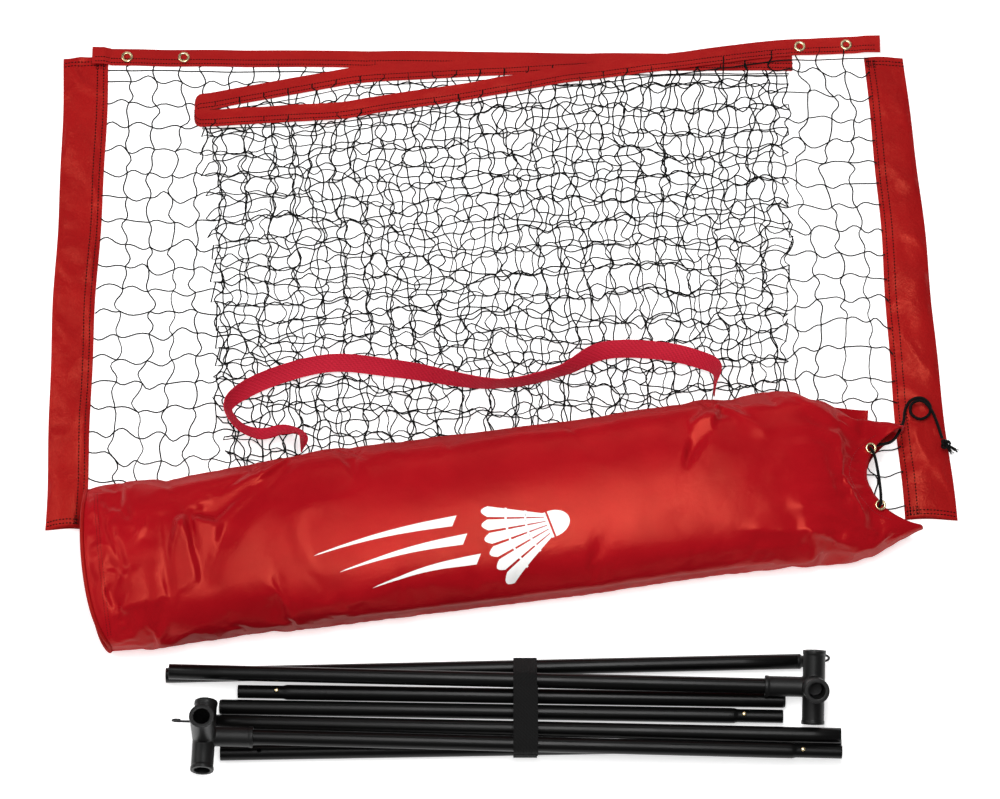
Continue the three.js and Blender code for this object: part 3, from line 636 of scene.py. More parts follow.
def lathe_frame(point, axis):
    x = unit(np.asarray(axis, float))
    y = unit(np.cross([0, 0, 1.0] if abs(x[2]) < 0.9 else [0, 1.0, 0], x))
    return np.asarray(point, float), x, y, np.cross(x, y)


def grommet_outline(hole, outer, lip, height):
    """Rolled brass ring: domed flange above and below a barrel."""
    turn = np.radians(np.linspace(0, 180, 9))
    middle, half = (hole + outer) / 2, (outer - hole) / 2
    dome = [(lip + (height - lip) * math.sin(a), middle + half * math.cos(a)) for a in turn]
    return dome + [(-h, r) for h, r in reversed(dome)] + [dome[0]]


# node, how many, body, hole and outer radius with lip and full height, axis, height over the CAD ring
GROMMETS = [("header_grommet", 4, "net", (4.8, 9, 1.0, 2.4), (0.04, 0.05, 1), 1.2),
            ("mouth_grommet", 2, "bag", (4.6, 8, 2.0, 3.6), (0.1, -0.12, 1), 0.0)]


def grommets():
    for node, count, body, sizes, axis, lift in GROMMETS:
        for i in range(1, count + 1):
            low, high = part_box(f"{node}_{i}")
            centre = (np.array((low + high) / 2) - SHIFT) / MM
            shape = Shape()
            shape.lathe(grommet_outline(*sizes), lathe_frame(centre + [0, 0, lift], axis))
            shape.done(f"{node}_ring_{i}", BRASS, body, f"{node}_{i}")


# ---- pole sleeves
def sleeve_surface(bottom, top, y_low, y_high, inner):
    """Upper face of a flattened cloth tube: u 0..100 across from its outer edge, v 0..100 up."""
    def surface(u, v):
        t, across = v / 100, u / 50 - 1
        half = (mix(bottom[1], top[1], t) - mix(bottom[0], top[0], t)) / 2
        middle = (mix(bottom[1], top[1], t) + mix(bottom[0], top[0], t)) / 2
        middle = middle + 1.6 * np.sin(t * 9 + inner) + 0.8 * np.sin(t * 23)
        y = mix(y_low, y_high, t) + 1.5 * np.sin(across * 2.2 + inner)
        x = middle + across * half * (1 if inner > 0 else -1)
        flat = np.stack([x, y], 1)
        slant = np.stack([x * 0.8 + y * 0.5, (y - x * 0.6) * 0.45], 1)
        lift = 7.6 * (1 - 0.35 * t) * (1 - 0.75 * ease((t - 0.93) / 0.06)) * (1 - np.abs(across) ** 2.4)
        edge = ease((1 - np.abs(across)) * 4)
        folds = 3.4 * noise_at(slant, 46, 71 + inner) + 3.0 * ridges(slant, 34, 73 + inner) - 1.2
        lift = lift + edge * folds + 0.7 * noise_at(flat, 15, 75 + inner)
        return np.stack([x, y, 1.4 + np.clip(lift, 0, 11)], 1)
    return surface


SLEEVE_WIDTH, SLEEVE_LENGTH, SLEEVE_STITCH = 50.0, 758.0, (5.0, 4.3, 1.15)


def pole_sleeve(node, surface, seam):
    """A closed cloth tube, open at its lower end, with its stitching. seam: u of the sewn edge."""
    columns, rows = 27, 130
    vv, uu = pairs(np.linspace(0, 100, rows), np.linspace(0, 100, columns))
    top = surface(uu, vv).reshape(rows, columns, 3)
    under = top.copy()
    under[:, :, 2] = 0.5 + 0.05 * (top[:, :, 2] - 1.4)
    loop = np.concatenate([top, under[:, ::-1]], 1)
    shape, stitches = Shape(), Shape()
    n = 2 * columns
    shape.add(loop, grid_faces(rows, n) + [tuple(range((rows - 1) * n, rows * n))])
    cloth = shape.done(node + "_cloth", SLEEVE_NYLON, "net", node)
    thicken(cloth, 0.5, -1)

    def row(us, vs, *stitch):
        stitches.stitch_row(*surface_rows(surface, us, vs), *stitch)

    def inset(distance, count):
        share = 100 * distance / SLEEVE_WIDTH
        return np.full(count, seam - share if seam > 50 else seam + share)

    for distance in (5, 12):
        row(inset(distance, 300), np.linspace(0.6, 99.4, 300), *SLEEVE_STITCH)
    for rise in (6, 12, SLEEVE_LENGTH - 14, SLEEVE_LENGTH - 8):
        row(np.linspace(2, 98, 60), np.full(60, 100 * rise / SLEEVE_LENGTH), *SLEEVE_STITCH)
    # crossed bar tacks at both ends of the seam
    for (v0, v1), k in product(((0.6, 2.4), (97.4, 99.4)), range(5)):
        row(inset(3 + 2.6 * k, 12), np.linspace(v0, v1, 12), 2.4, 2.6, 0.7)
    stitches.done(cloth.name + "_stitches", THREAD, "net")
    return cloth


# ---- carry bag
BAG_LENGTH = 1160
BAG_LEFT = np.array([-582.0, -287.0])
HALF_WIDTH = [[0, 119], [60, 125], [200, 130], [350, 138], [900, 138], [1030, 135], [1085, 120],
              [1125, 90], [1160, 72]]
BOW = [[0, 6], [200, 13], [350, 16], [700, 16], [900, 22], [1040, 20], [1120, 0], [1160, 0]]
RISE = [[0, 50], [80, 56], [900, 56], [1030, 50], [1100, 34], [1160, 24]]
MIDDLE = [[0, 52], [950, 52], [1160, 44]]
COS, SIN = math.cos(BAG_TURN), math.sin(BAG_TURN)


HEM_POINT, HEM_HOLLOW, END_CORNER, END_BOW = 36, 36, 11, 12


def on_bag(along, across, z):
    along, across, z = np.broadcast_arrays(np.asarray(along, float), across, z)
    across = across + profile(BOW, along)
    x, y = COS * along - SIN * across, SIN * along + COS * across
    return np.stack([BAG_LEFT[0] + x, BAG_LEFT[1] + y, z], -1)


def local(p):
    """Distance along the bag and across it, for points in design millimetres."""
    x, y = p[..., 0] - BAG_LEFT[0], p[..., 1] - BAG_LEFT[1]
    along = COS * x + SIN * y
    return along, -SIN * x + COS * y - profile(BOW, along)


def ground_under_bag(x, y):
    net = 8.8 * ease((y + 280) / 55)
    sleeve = 11.6 * ease((x - 525) / 45) * ease((y + 265) / 45)
    return np.maximum(net, sleeve)


def hem_reach(c):
    """How far the hem stands out past the bag's length, for c from -1 to 1 across the mouth."""
    return HEM_POINT * np.abs(c) ** 5 - HEM_HOLLOW * (1 - np.abs(c) ** 1.5)


def bag_point(along, turn):
    """The bag's smooth hull at a distance along it and an angle round it (0 at the back line)."""
    c, s = np.cos(turn), np.sin(turn)
    width, middle, rise = (profile(line, along, 16) for line in (HALF_WIDTH, MIDDLE, RISE))
    flat = mix(1.0, 0.55, ease((along - 950) / 200))
    z = np.where(s >= 0, middle + rise * np.abs(s) ** flat, middle - (middle - 1.5) * np.abs(s) ** 0.5)
    # the hem runs out to a point at each side of the mouth and is hollow between them
    reach = ease((along - 1060) / 100)
    # the closed end bows out between its corners, and its lower corner is rounded off
    end = ease(1 - along / 110) * (END_CORNER * np.maximum(-c, 0) ** 6 - END_BOW * (1 - c * c))
    p = on_bag(along + end + reach * hem_reach(c), width * c * (1 + 0.05 * reach), z)
    p[..., 2] = np.maximum(p[..., 2], ground_under_bag(p[..., 0], p[..., 1]) + 1)
    return p


def by_line(along, across, start, end):
    """Share of the way along a line drawn on the bag, and distance to its side."""
    (a0, c0), da, dc = start, end[0] - start[0], end[1] - start[1]
    length = math.hypot(da, dc)
    return (((along - a0) * da + (across - c0) * dc) / length ** 2,
            ((along - a0) * dc - (across - c0) * da) / length)


# folds pressed into the cloth: two ends as (along, across), height, width
FOLDS = [
    ((925, 112), (880, 40), 2.6, 15), ((925, 112), (985, 50), 2.2, 15),
    ((1000, -60), (1120, -82), 3.4, 10), ((930, -88), (1060, -104), 3.0, 9),
    ((1010, -96), (1090, -112), 2.5, 8), ((1090, 70), (1085, 0), 3.0, 11),
    ((1085, 0), (1108, -70), 3.4, 10), ((1040, 96), (1120, 72), 2.5, 9),
]
# flat facets where the slack cloth creases under the strap: corners as (along, across), slope of
# the facet along and across the bag, and how far its middle stands off the hull
FACETS = [
    ([(306, 121), (282, 104), (196, 24), (148, 46), (262, 106)], 0.02, 0.14, 4.5),
    ([(188, 20), (154, -60), (148, 38)], -0.03, 0.18, 2.0),
    ([(138, 40), (147, -56), (110, -74), (112, -8), (126, 38)], 0.04, 0.17, 3.0),
    ([(80, 42), (40, -4), (54, 2), (72, 24)], 0.05, 0.20, 2.5),
    ([(34, 16), (8, 22), (22, 0)], 0.0, 0.16, 1.5),
    ([(46, -26), (14, -20), (18, -44)], 0.0, 0.17, 1.5),
    ([(64, -36), (66, -76), (24, -86), (46, -58)], 0.03, 0.17, 2.0),
    ([(88, -32), (103, -72), (80, -80)], -0.02, 0.17, 2.0),
    ([(930, 118), (905, 60), (862, 20), (880, 84)], 0.05, 0.10, 1.5),
]
# dark valleys that run between and beside the facets: two ends, depth, width
VALLEYS = [
    ((312, 122), (146, 54), 4.5, 9), ((146, 50), (150, -62), 4.5, 6), ((196, 18), (158, -66), 4.0, 7),
    ((300, 100), (204, 24), 4.0, 8), ((104, 44), (104, -78), 4.0, 8), ((88, -24), (6, -12), 3.5, 7),
    ((124, 44), (28, 58), 3.0, 9), ((72, -30), (76, -84), 3.5, 6), ((10, 60), (92, 8), 3.0, 8),
]
CREASE, FACET_MOST = 5.0, 11  # width of a facet's edge, and the most that a facet moves the cloth


def press_facets(p):
    """Flattens the facets and sinks the valleys in points on the finished bag's upper side."""
    along, across = local(p)
    up = ease((p[..., 2] - 44) / 16)
    z = p[..., 2].copy()
    for start, end, depth, width in VALLEYS:
        t, d = by_line(along, across, start, end)
        z -= up * depth * ease((t + 0.1) / 0.25) * ease((1.1 - t) / 0.25) * np.exp(-np.abs(d) / width)
    for corners_, slope_a, slope_c, stand in FACETS:
        q = np.array(corners_, float)
        middle = q.mean(0)
        inside = np.full(along.shape, 1e3)
        for k in range(len(q)):
            e = q[(k + 1) % len(q)] - q[k]
            n = np.array([-e[1], e[0]]) / np.hypot(*e)
            if (middle - q[k]) @ n < 0:
                n = -n
            inside = np.minimum(inside, (along - q[k][0]) * n[0] + (across - q[k][1]) * n[1])
        weight = ease(inside / CREASE + 0.6) * up
        near = np.hypot(along - middle[0], across - middle[1]) < 14
        level = float(np.median(z[near & (up > 0.5)])) + stand
        plane = level + slope_a * (along - middle[0]) + slope_c * (across - middle[1])
        z += weight * np.clip(plane - z, -FACET_MOST, FACET_MOST)
    return np.concatenate([p[..., :2], z[..., None]], -1)


def fold_height(along, across):
    """Height of the pressed folds above the hull: sharp crest, hollow to one side."""
    total = np.zeros(np.shape(along))
    for start, end, height, width in FOLDS:
        t, d = by_line(along, across, start, end)
        ends = ease((t + 0.12) / 0.3) * ease((1.12 - t) / 0.3)
        hollow = 0.55 * np.exp(-((d - 1.6 * width) / (1.5 * width)) ** 2)
        total += 1.7 * ends * height * (np.exp(-np.abs(d) / width) - hollow)
    return total


def bag_grid(rows, columns):
    """Points of the hull, their outward normals, and the angle round the bag."""
    aa, tt = np.meshgrid(np.linspace(0, BAG_LENGTH, rows), 2 * np.pi * np.arange(columns) / columns,
                         indexing="ij")
    p = bag_point(aa, tt)
    normal = unit(np.cross(bag_point(aa, tt + 0.01) - p, bag_point(aa + 1, tt) - p))
    outward = p - on_bag(aa, 0, 46)
    return p, np.where((normal * outward).sum(-1, keepdims=True) < 0, -normal, normal), tt


def crumple(p):
    """Small folds of the slack cloth, stronger by the closed end and by the gathered mouth."""
    q = p.reshape(-1, 3)
    along, across = local(q)
    slant = np.stack([along * 0.9 + across * 0.3, across * 0.62 - along * 0.15, q[:, 2] * 0.8], 1)
    near_end = np.exp(-along / 210)
    near_mouth = ease((along - 860) / 240)
    strength = 0.45 + 2.3 * near_end + 1.5 * near_mouth
    h = (ridges(slant, 58, 4) - 0.45) * 1.5 + noise_at(slant, 95, 6) * 1.2 + noise_at(slant, 26, 8) * 0.4
    gather = near_mouth ** 3 * 1.6 * np.sin(np.arctan2(q[:, 2] - 40, across) * 17 + along * 0.02)
    return (strength * h + gather).reshape(p.shape[:2])


FRAMES, MOVE_MOST, HELD_BELOW, HELD_RINGS = 20, 9 * MM, 21 * MM, (2, 5)


def places_of(mesh):
    return np.array([v.co for v in mesh.vertices])


def move_to(mesh, places):
    mesh.vertices.foreach_set("co", places.astype(np.float32).ravel())
    mesh.update()


def simulate_bag(obj, rows, columns):
    """Cloth pass: the shell is cut a little large and blown out, so it buckles into soft folds."""
    before = places_of(obj.data)
    index = np.arange(rows * columns)
    near_end = (index < columns * HELD_RINGS[0]) | (index >= columns * (rows - HELD_RINGS[1]))
    group = obj.vertex_groups.new(name="held")
    group.add(np.nonzero(near_end | (before[:, 2] < HELD_BELOW))[0].tolist(), 1.0, "REPLACE")
    cloth = obj.modifiers.new("cloth", "CLOTH")
    s = cloth.settings
    s.quality, s.mass, s.air_damping = 5, 0.25, 3
    s.tension_stiffness = s.compression_stiffness = 30
    s.shear_stiffness, s.bending_stiffness = 12, 0.6
    s.vertex_group_mass = "held"
    s.shrink_min = s.shrink_max = -0.022
    s.use_pressure, s.uniform_pressure_force = True, 3.0
    s.effector_weights.gravity = 0
    cloth.point_cache.frame_start, cloth.point_cache.frame_end = 1, FRAMES + 2
    scene = bpy.context.scene
    for f in range(1, FRAMES + 1):
        scene.frame_set(f)
    after = places_of(obj.evaluated_get(bpy.context.evaluated_depsgraph_get()).data)
    obj.modifiers.remove(cloth)
    scene.frame_set(1)
    move = after - before
    size = np.linalg.norm(move, axis=1, keepdims=True)
    final = before + move * np.minimum(1, MOVE_MOST / np.maximum(size, 1e-9))
    final[:, 2] = np.maximum(final[:, 2], 1.0 * MM)
    move_to(obj.data, final)
    obj.vertex_groups.remove(group)


def bag():
    rows, columns = 230, 110
    p, normal, turn = bag_grid(rows, columns)
    top = ease((np.sin(turn) + 0.25) / 0.5)
    free = ease((p[..., 2] - ground_under_bag(p[..., 0], p[..., 1]) - 3) / 18)
    height = crumple(p) * free + fold_height(*local(p)) * top
    shape = Shape()
    shape.add(p + normal * height[..., None], grid_faces(rows, columns))
    shell = shape.done("bag_cloth", BAG_NYLON, "bag", "bag_shell")
    simulate_bag(shell, rows, columns)
    final = press_facets((places_of(shell.data) - SHIFT) / MM)
    move_to(shell.data, at(final))
    smooth = shell.modifiers.new("smooth", "SUBSURF")
    smooth.levels = smooth.render_levels = 1
    thicken(shell, 0.9, -1)
    return shell, final.reshape(rows, columns, 3)


def rows_on_bag(points):
    """Drops points onto the finished bag from above, giving the points that meet it and normals."""
    graph = bpy.context.evaluated_depsgraph_get()
    tree = BVHTree.FromObject(BAG, graph)
    out, normals = [], []
    for q in at(points):
        hit, n, _, _ = tree.ray_cast(Vector((q[0], q[1], 0.4)), Vector((0, 0, -1)))
        if hit is None:
            continue
        out.append(hit)
        normals.append(n if n.z > 0 else -n)
    return (np.array(out) - SHIFT) / MM, np.array(normals)


def bag_end(ring):
    """Closed end: a slack panel and its piping."""
    centre, n = ring.mean(0), len(ring)
    outward = np.array([-COS, -SIN, 0])
    rings = []
    for share in np.linspace(1, 0.06, 14):
        r = centre + (ring - centre) * share + outward * (1.6 + 5.0 * (1 - share ** 2))
        crease = ridges(r, 34, 12) * 2.4 * math.sin(math.pi * share)
        rings.append(r + outward * crease[:, None] - outward * 1.2)
    last = (len(rings) - 1) * n
    shape, piping = Shape(), Shape()
    shape.add(np.vstack(rings + [rings[-1].mean(0)[None]]),
              grid_faces(len(rings), n) + fan(list(range(last, last + n)), last + n))
    thicken(shape.done("bag_end_cloth", BAG_NYLON, "bag", "bag_end_panel"), 0.8, 0)
    middle = centre + (ring - centre) * 0.992 + outward * 2.4
    middle[:, 2] = np.maximum(middle[:, 2], 3.2)
    piping.tube(middle, 3.0, 10, looped=True)
    piping.done("bag_piping", PIPING_NYLON, "bag", "bag_end_piping")


def mouth_corner():
    """The back layer of the hem: its corner shows beyond the upper shoulder of the bag."""
    rows, columns = 24, 10
    u, v = pairs(np.linspace(0, 1, rows), np.linspace(0, 1, columns))
    along = mix(1066, mix(1150, 1145, v), u)
    across = mix(mix(133, 121, u), mix(112, 100, u), v)
    z = mix(30, 17, ease(u)) - 2 * v + 1.2 * np.sin(u * 5 + v * 3)
    top = on_bag(along, across - profile(BOW, along), z).reshape(rows, columns, 3)
    shape = Shape()
    shape.slab(top, top - [0, 0, 1.0])
    shape.done("bag_mouth_corner", BAG_NYLON, "bag")


OVER_BAG = 60.0  # height from which prints and stitches are dropped onto the bag
PRINT_AT, PRINT_TILT, PRINT_THICK = (652.0, -44.0), math.radians(14), 0.45
# from and to along the bag, from and to across it, thickness at both ends
STRIPES = [(318, 520, -46, -22, 3, 15), (352, 532, -74, -50, 3, 15), (396, 548, -100, -80, 3, 14)]
FEATHERS, FEATHER_FROM, FEATHER_STEP, FEATHER_EDGES = 6, -27, 9.2, (0.9, 8.3)
THREAD_RINGS = (62, 90)


def print_on_bag():
    """A plain white shuttlecock with three speed stripes, printed on the front of the bag."""
    shape = Shape()
    ct, st = math.cos(PRINT_TILT), math.sin(PRINT_TILT)

    def patch(corner, nu, nv):
        along, across = corner(*pairs(np.linspace(0, 1, nu), np.linspace(0, 1, nv)))
        q, n = rows_on_bag(on_bag(along, across, OVER_BAG))
        shape.add(q + n * PRINT_THICK, grid_faces(nu, nv, closed=False))

    def turned(x, y):
        return PRINT_AT[0] + ct * x - st * y, PRINT_AT[1] + st * x + ct * y

    def spread(r, a):
        return turned(34 - r * np.cos(a), r * np.sin(a) * 1.05)

    for x0, x1, y0, y1, thick0, thick1 in STRIPES:
        patch(lambda u, v: (mix(x0, x1, u) + 8 * (v - 0.5), mix(y0, y1, u)
                            + (v - 0.5) * mix(thick0, thick1, u) + 5 * np.sin(u * 3.1)), 60, 7)
    for k in range(FEATHERS):  # each widens towards its tip, with a gap between
        a0, a1 = (math.radians(FEATHER_FROM + FEATHER_STEP * k + g) for g in FEATHER_EDGES)
        patch(lambda u, v: spread(mix(34, 118, u) + 9 * u * np.sin(np.pi * v), mix(a0, a1, v)), 30, 7)
    for r0 in THREAD_RINGS:
        patch(lambda u, v: spread(r0 + 3.2 * v, mix(math.radians(-27), math.radians(28), u)), 26, 3)

    def cork(u, v):
        a = mix(-math.pi / 2, math.pi / 2, u)
        return turned(6 + 27 * v * np.cos(a), 19 * v * np.sin(a))
    patch(cork, 30, 10)
    patch(lambda u, v: turned(mix(-1, 3, u), mix(-19, 19, v)), 3, 16)
    shape.done("bag_print", PRINT, "bag")


def bag_stitching():
    """Seam rows by the closed end and hem rows round the mouth."""
    hem, seam = Shape(), Shape()
    c = np.linspace(-108, 108, 90)
    for along in (9.0, 13.5):
        seam.stitch_row(*rows_on_bag(on_bag(along, c, OVER_BAG)), 4.0, 3.0, 0.4)
    c = np.linspace(-0.9, 0.9, 70)
    for back in (3.5, 26):
        line = on_bag(BAG_LENGTH - back + hem_reach(c), 74 * c, OVER_BAG)
        hem.stitch_row(*rows_on_bag(line), 3.6, 2.6, 0.5)
    hem.done("bag_hem_stitches", RED_THREAD, "bag")
    seam.done("bag_seam_stitches", THREAD, "bag")


# ---- shoulder strap
# middle line in design millimetres, and how far the webbing stands on edge in degrees
STRAP_PATH = [
    (-290, -95, 66, 90), (-291, -76, 55, 62), (-318, -60, 33, 40), (-352, -62, 22, 35), (-384, -50, 23, 55),
    (-402, -18, 22, 70), (-372, 12, 18, 35), (-258, 52, 13, 12), (-150, 42, 17, 35), (0, 16, 24, 82),
    (90, 36, 24, 74), (152, 70, 18, 28), (238, 72, 14, 14), (292, 56, 22, 42), (319, 34, 42, 66),
    (315, -8, 63, 90),
]
WEB_W, WEB_T, STRAP_STEPS = 27, 2, 20


def shoulder_strap():
    middle = spline([p[:3] for p in STRAP_PATH], STRAP_STEPS)
    n = len(middle)
    tilt = np.interp(np.arange(n) / STRAP_STEPS, np.arange(len(STRAP_PATH)), [p[3] for p in STRAP_PATH])
    tilt = np.radians(tilt)[:, None]
    along = unit(np.gradient(middle, axis=0))
    level = unit(np.stack([-along[:, 1], along[:, 0], np.zeros(n)], 1))
    width = level * np.cos(tilt) + np.array([0, 0, 1.0]) * np.sin(tilt)
    width = unit(width - along * (width * along).sum(1, keepdims=True))
    face = np.cross(along, width)
    d = distances(middle)
    across = np.linspace(-0.5, 0.5, 9)
    curl = 1.6 * (4 * across ** 2 - 0.33)
    bow = curl[None, :, None] * face[:, None] * np.sin(d / 160)[:, None, None]
    upper = middle[:, None] + width[:, None] * (across * WEB_W)[:, None] + face[:, None] * WEB_T / 2 + bow
    uv = np.stack(np.broadcast_arrays(d[:, None], across[None] * WEB_W), -1)
    shape, stitches = Shape(), Shape()
    shape.slab(upper, upper - face[:, None] * WEB_T, uv)
    strap = shape.done("shoulder_strap_webbing", RED_WEBBING, "bag", "shoulder_strap")
    for end, edge in product((slice(0, 8), slice(n - 8, n)), (-9.5, 9.5)):
        line = spaced(middle[end] + width[end] * edge + face[end] * (WEB_T / 2), 1.0)
        stitches.stitch_row(line, np.repeat(face[end][:1], len(line), 0), 3, 2.2, 0.4)
    stitches.done("shoulder_strap_stitches", RED_THREAD, "bag")
    return strap, d[-1]


def strap_patches():
    """Doubled webbing sewn to the back line of the bag where each end of the strap is fixed."""
    for node, along in (("strap_patch_left", 309), ("strap_patch_right", 925)):
        a, h = np.meshgrid(np.linspace(-20, 20, 15), np.linspace(-38, -20, 9), indexing="ij")
        reach = profile(HALF_WIDTH, along) - 0.6 + 0.5 * np.cos(a / 6)
        front, back = (on_bag(along + a, reach - depth, 52 + h) for depth in (0, 1.4))
        shape = Shape()
        shape.slab(front, back, np.stack([a, h], -1))
        shape.done(node + "_webbing", RED_WEBBING, "bag", node)


# ---- drawcord
CORD_R = 2.2
MOUTH_GROMMETS = [(1136, 44), (1136, -44)]
OVER_HEM, UNDER_HEM = 9.5, -9
KNOT_AT, KNOT_SIZE = (655.5, -76), 4.4
# direction and length of the two tails past the knot
TAILS = ((0.86, -0.5, 17), (0.55, -0.83, 13))


def mouth_top(along, across):
    share = math.sqrt(1 - (across / profile(HALF_WIDTH, along)) ** 2)
    flat = mix(1.0, 0.55, float(ease((along - 950) / 200)))
    return on_bag(along, across, profile(MIDDLE, along) + profile(RISE, along) * share ** flat - 0.8)


def cord_route():
    """The cord's points: up through one grommet, down through the other, out over the sleeve."""
    g1, g2 = (mouth_top(*g) for g in MOUTH_GROMMETS)
    over, under = OVER_HEM, UNDER_HEM
    return [
        on_bag(1128, -52, g2[2] + under * 1.9), g2 + [-1.2, -1, under * 0.45], g2 + [0.3, 1.6, over * 0.55],
        on_bag(1138, -30, g2[2] + over + 1.6), on_bag(1139, 0, g1[2] + over + 3.2),
        on_bag(1138, 30, g1[2] + over + 1.6), g1 + [-0.3, -1.6, over * 0.55],
        g1 + [0.8, 1, under * 0.45], on_bag(1146, 53, g1[2] + under * 1.9),
        on_bag(1170, 56, g1[2] + under - 8), (593, -46, 30), (598, -22, 17.5), (608, -6, 14.6),
        (624, -3, 14.5), (635, -14, 14.5), (633, -29, 15), (619, -37, 17.5), (606, -29, 20),
        (608, -14, 20.2), (622, -9, 19.6), (636, -22, 17.4), (645, -44, 14.8), (651, -66, 14.5),
    ]


def tied_end():
    """Overhand knot with two short frayed tails."""
    knot = Shape()
    a = np.linspace(0, 2 * np.pi, 60, endpoint=False)
    ring = KNOT_SIZE * (2 + np.cos(1.5 * 2 * a)) * 0.5
    loop = np.stack([ring * np.cos(2 * a), ring * np.sin(2 * a), KNOT_SIZE * np.sin(3 * a) * 0.5], 1)
    knot.tube(loop + [*KNOT_AT, 17], CORD_R * 0.9, 9, looped=True)
    for k, (dx, dy, length) in enumerate(TAILS):
        t = np.linspace(2, length, 9)
        tail = np.stack([KNOT_AT[0] + dx * t, KNOT_AT[1] + dy * t, 15.5 + 1.2 * np.sin(t / 5 + k)], 1)
        knot.tube(tail, CORD_R * np.linspace(0.92, 1.12, 9), 9)
        for j in range(9):
            c, s = math.cos(j * 2.4), math.sin(j * 2.4)
            out = np.array([dx, dy, 0]) + 0.35 * np.array([-dy * c, dx * c, 0.7 * s])
            root = tail[-1] + 1.2 * np.array([-dy * c, dx * c, s])
            knot.tube(np.array([root - out, root + out * 1.5, root + out * (3 + j % 3)]), 0.32, 4)
    return knot.done("drawcord_tied_end", CORD, "bag", "drawcord_knot")


def drawcord():
    path = cord_route()
    route = spaced(spline(path, 12), 3.0)
    shape = Shape()
    shape.tube(route, CORD_R, 12)
    cord = shape.done("drawcord", CORD, "bag", "bag_drawcord")
    tied_end()


# ---- frame poles
TUBE_R, TUBE_WALL, SWAGE_R, SWAGE_L, LIP = 11, 1, 9.6, 66, 0.4
LOW_Z = 14.1
LINES = {
    "upright_1": ((-481, -428, LOW_Z), (429, -407, LOW_Z)),
    "upright_2": ((486, -524, 39.2), (-424, -497, LOW_Z + 0.6)),
    "crossbar_right": ((432, -452, 39), (-478, -428.5, LOW_Z + 22.6)),
    "crossbar_left": ((-404, -528, 50.5), (488, -547.5, 36.6)),
    "crossbar_middle": ((-400, -543, LOW_Z), (488, -527.5, LOW_Z)),
    "foot_1": ((407, -465, LOW_Z), (-377, -452, LOW_Z)),
    "foot_2": ((-400, -474.8, LOW_Z), (407, -489, LOW_Z)),
}
UPRIGHT_L = 910
# node, line, length, swaged at its end, places of its snap button holes
TUBES = [
    ("upright_tube_1", "upright_1", UPRIGHT_L, False, []),
    ("upright_tube_2", "upright_2", UPRIGHT_L, False, []),
    ("crossbar_tube_right", "crossbar_right", 907, False, []),
    ("crossbar_tube_left", "crossbar_left", 891, True, [835]),
    ("crossbar_tube_middle", "crossbar_middle", 888, False, [56, 832]),
    ("foot_tube_1", "foot_1", 784, True, [728]),
    ("foot_tube_2", "foot_2", 806, True, [750]),
]


def axes_of(key):
    start, end = (np.array(p, float) for p in LINES[key])
    x = unit(end - start)
    y = unit(np.cross([0, 0, 1.0], x))
    return start, x, y, np.cross(x, y)


def along_axes(axes, x, y=0.0, z=0.0):
    return axes[0] + axes[1] * x + axes[2] * y + axes[3] * z


def tube_end(x, outer, inner):
    """The rounded rim of a tube that ends at x, from its outside in."""
    return [(x - LIP, outer), (x, outer - LIP), (x, inner + LIP), (x - LIP, inner)]


def tube_outline(length, swaged):
    r, inner = TUBE_R, TUBE_R - TUBE_WALL
    out = [(LIP, inner), (0, inner + LIP), (0, r - LIP), (LIP, r)]
    out += [(x, r) for x in np.linspace(40, length - SWAGE_L - 12, 12)]
    if not swaged:
        return out + tube_end(length, r, inner) + out[:1]
    neck, narrow = length - SWAGE_L - 6, SWAGE_R - TUBE_WALL
    out += [(neck + 8 * t, r - (r - SWAGE_R) * float(ease(t))) for t in np.linspace(0, 1, 7)]
    return out + tube_end(length, SWAGE_R, narrow) + [(neck + 8, narrow), (neck, inner)] + out[:1]


def cylinder(name, radius, start, end, sides=48, collar=None):
    """A loose closed cylinder, with a wider collar at its far end if asked: a cutter or a blank."""
    start, end = np.asarray(start, float), np.asarray(end, float)
    length = float(np.linalg.norm(end - start))
    outline = [(0, 1e-3), (0, radius), (length, radius), (length, 1e-3)]
    if collar:
        wide, deep = collar
        outline[2:3] = [(length - deep, radius), (length - deep, wide), (length, wide)]
    shape = Shape()
    shape.lathe(outline, lathe_frame(start, end - start), sides)
    mesh = new_mesh(name, np.vstack(shape.verts), shape.faces)
    turn_outwards(mesh, weld=True)
    return linked(name, mesh)


def combine(obj, tool, operation):
    modifier = obj.modifiers.new("cut", "BOOLEAN")
    modifier.operation, modifier.object, modifier.solver = operation, tool, "EXACT"
    apply_modifiers(obj)
    bpy.data.objects.remove(tool)


def apply_modifiers(obj):
    graph = bpy.context.evaluated_depsgraph_get()
    mesh = bpy.data.meshes.new_from_object(obj.evaluated_get(graph))
    obj.modifiers.clear()
    obj.data = mesh


def tubes():
    for node, key, length, swaged, holes in TUBES:
        axes = axes_of(key)
        shape = Shape()
        shape.lathe(tube_outline(length, swaged), axes, 40)
        tube = shape.done(node + "_paint", PAINT, key, node)
        for x in holes:
            drill = cylinder("drill", 3.5, along_axes(axes, x, 0, 4), along_axes(axes, x, 0, 18), 24)
            combine(tube, drill, "DIFFERENCE")
            smooth_shading(tube.data, 40)


PLUG_INNER = TUBE_R - TUBE_WALL - 0.15
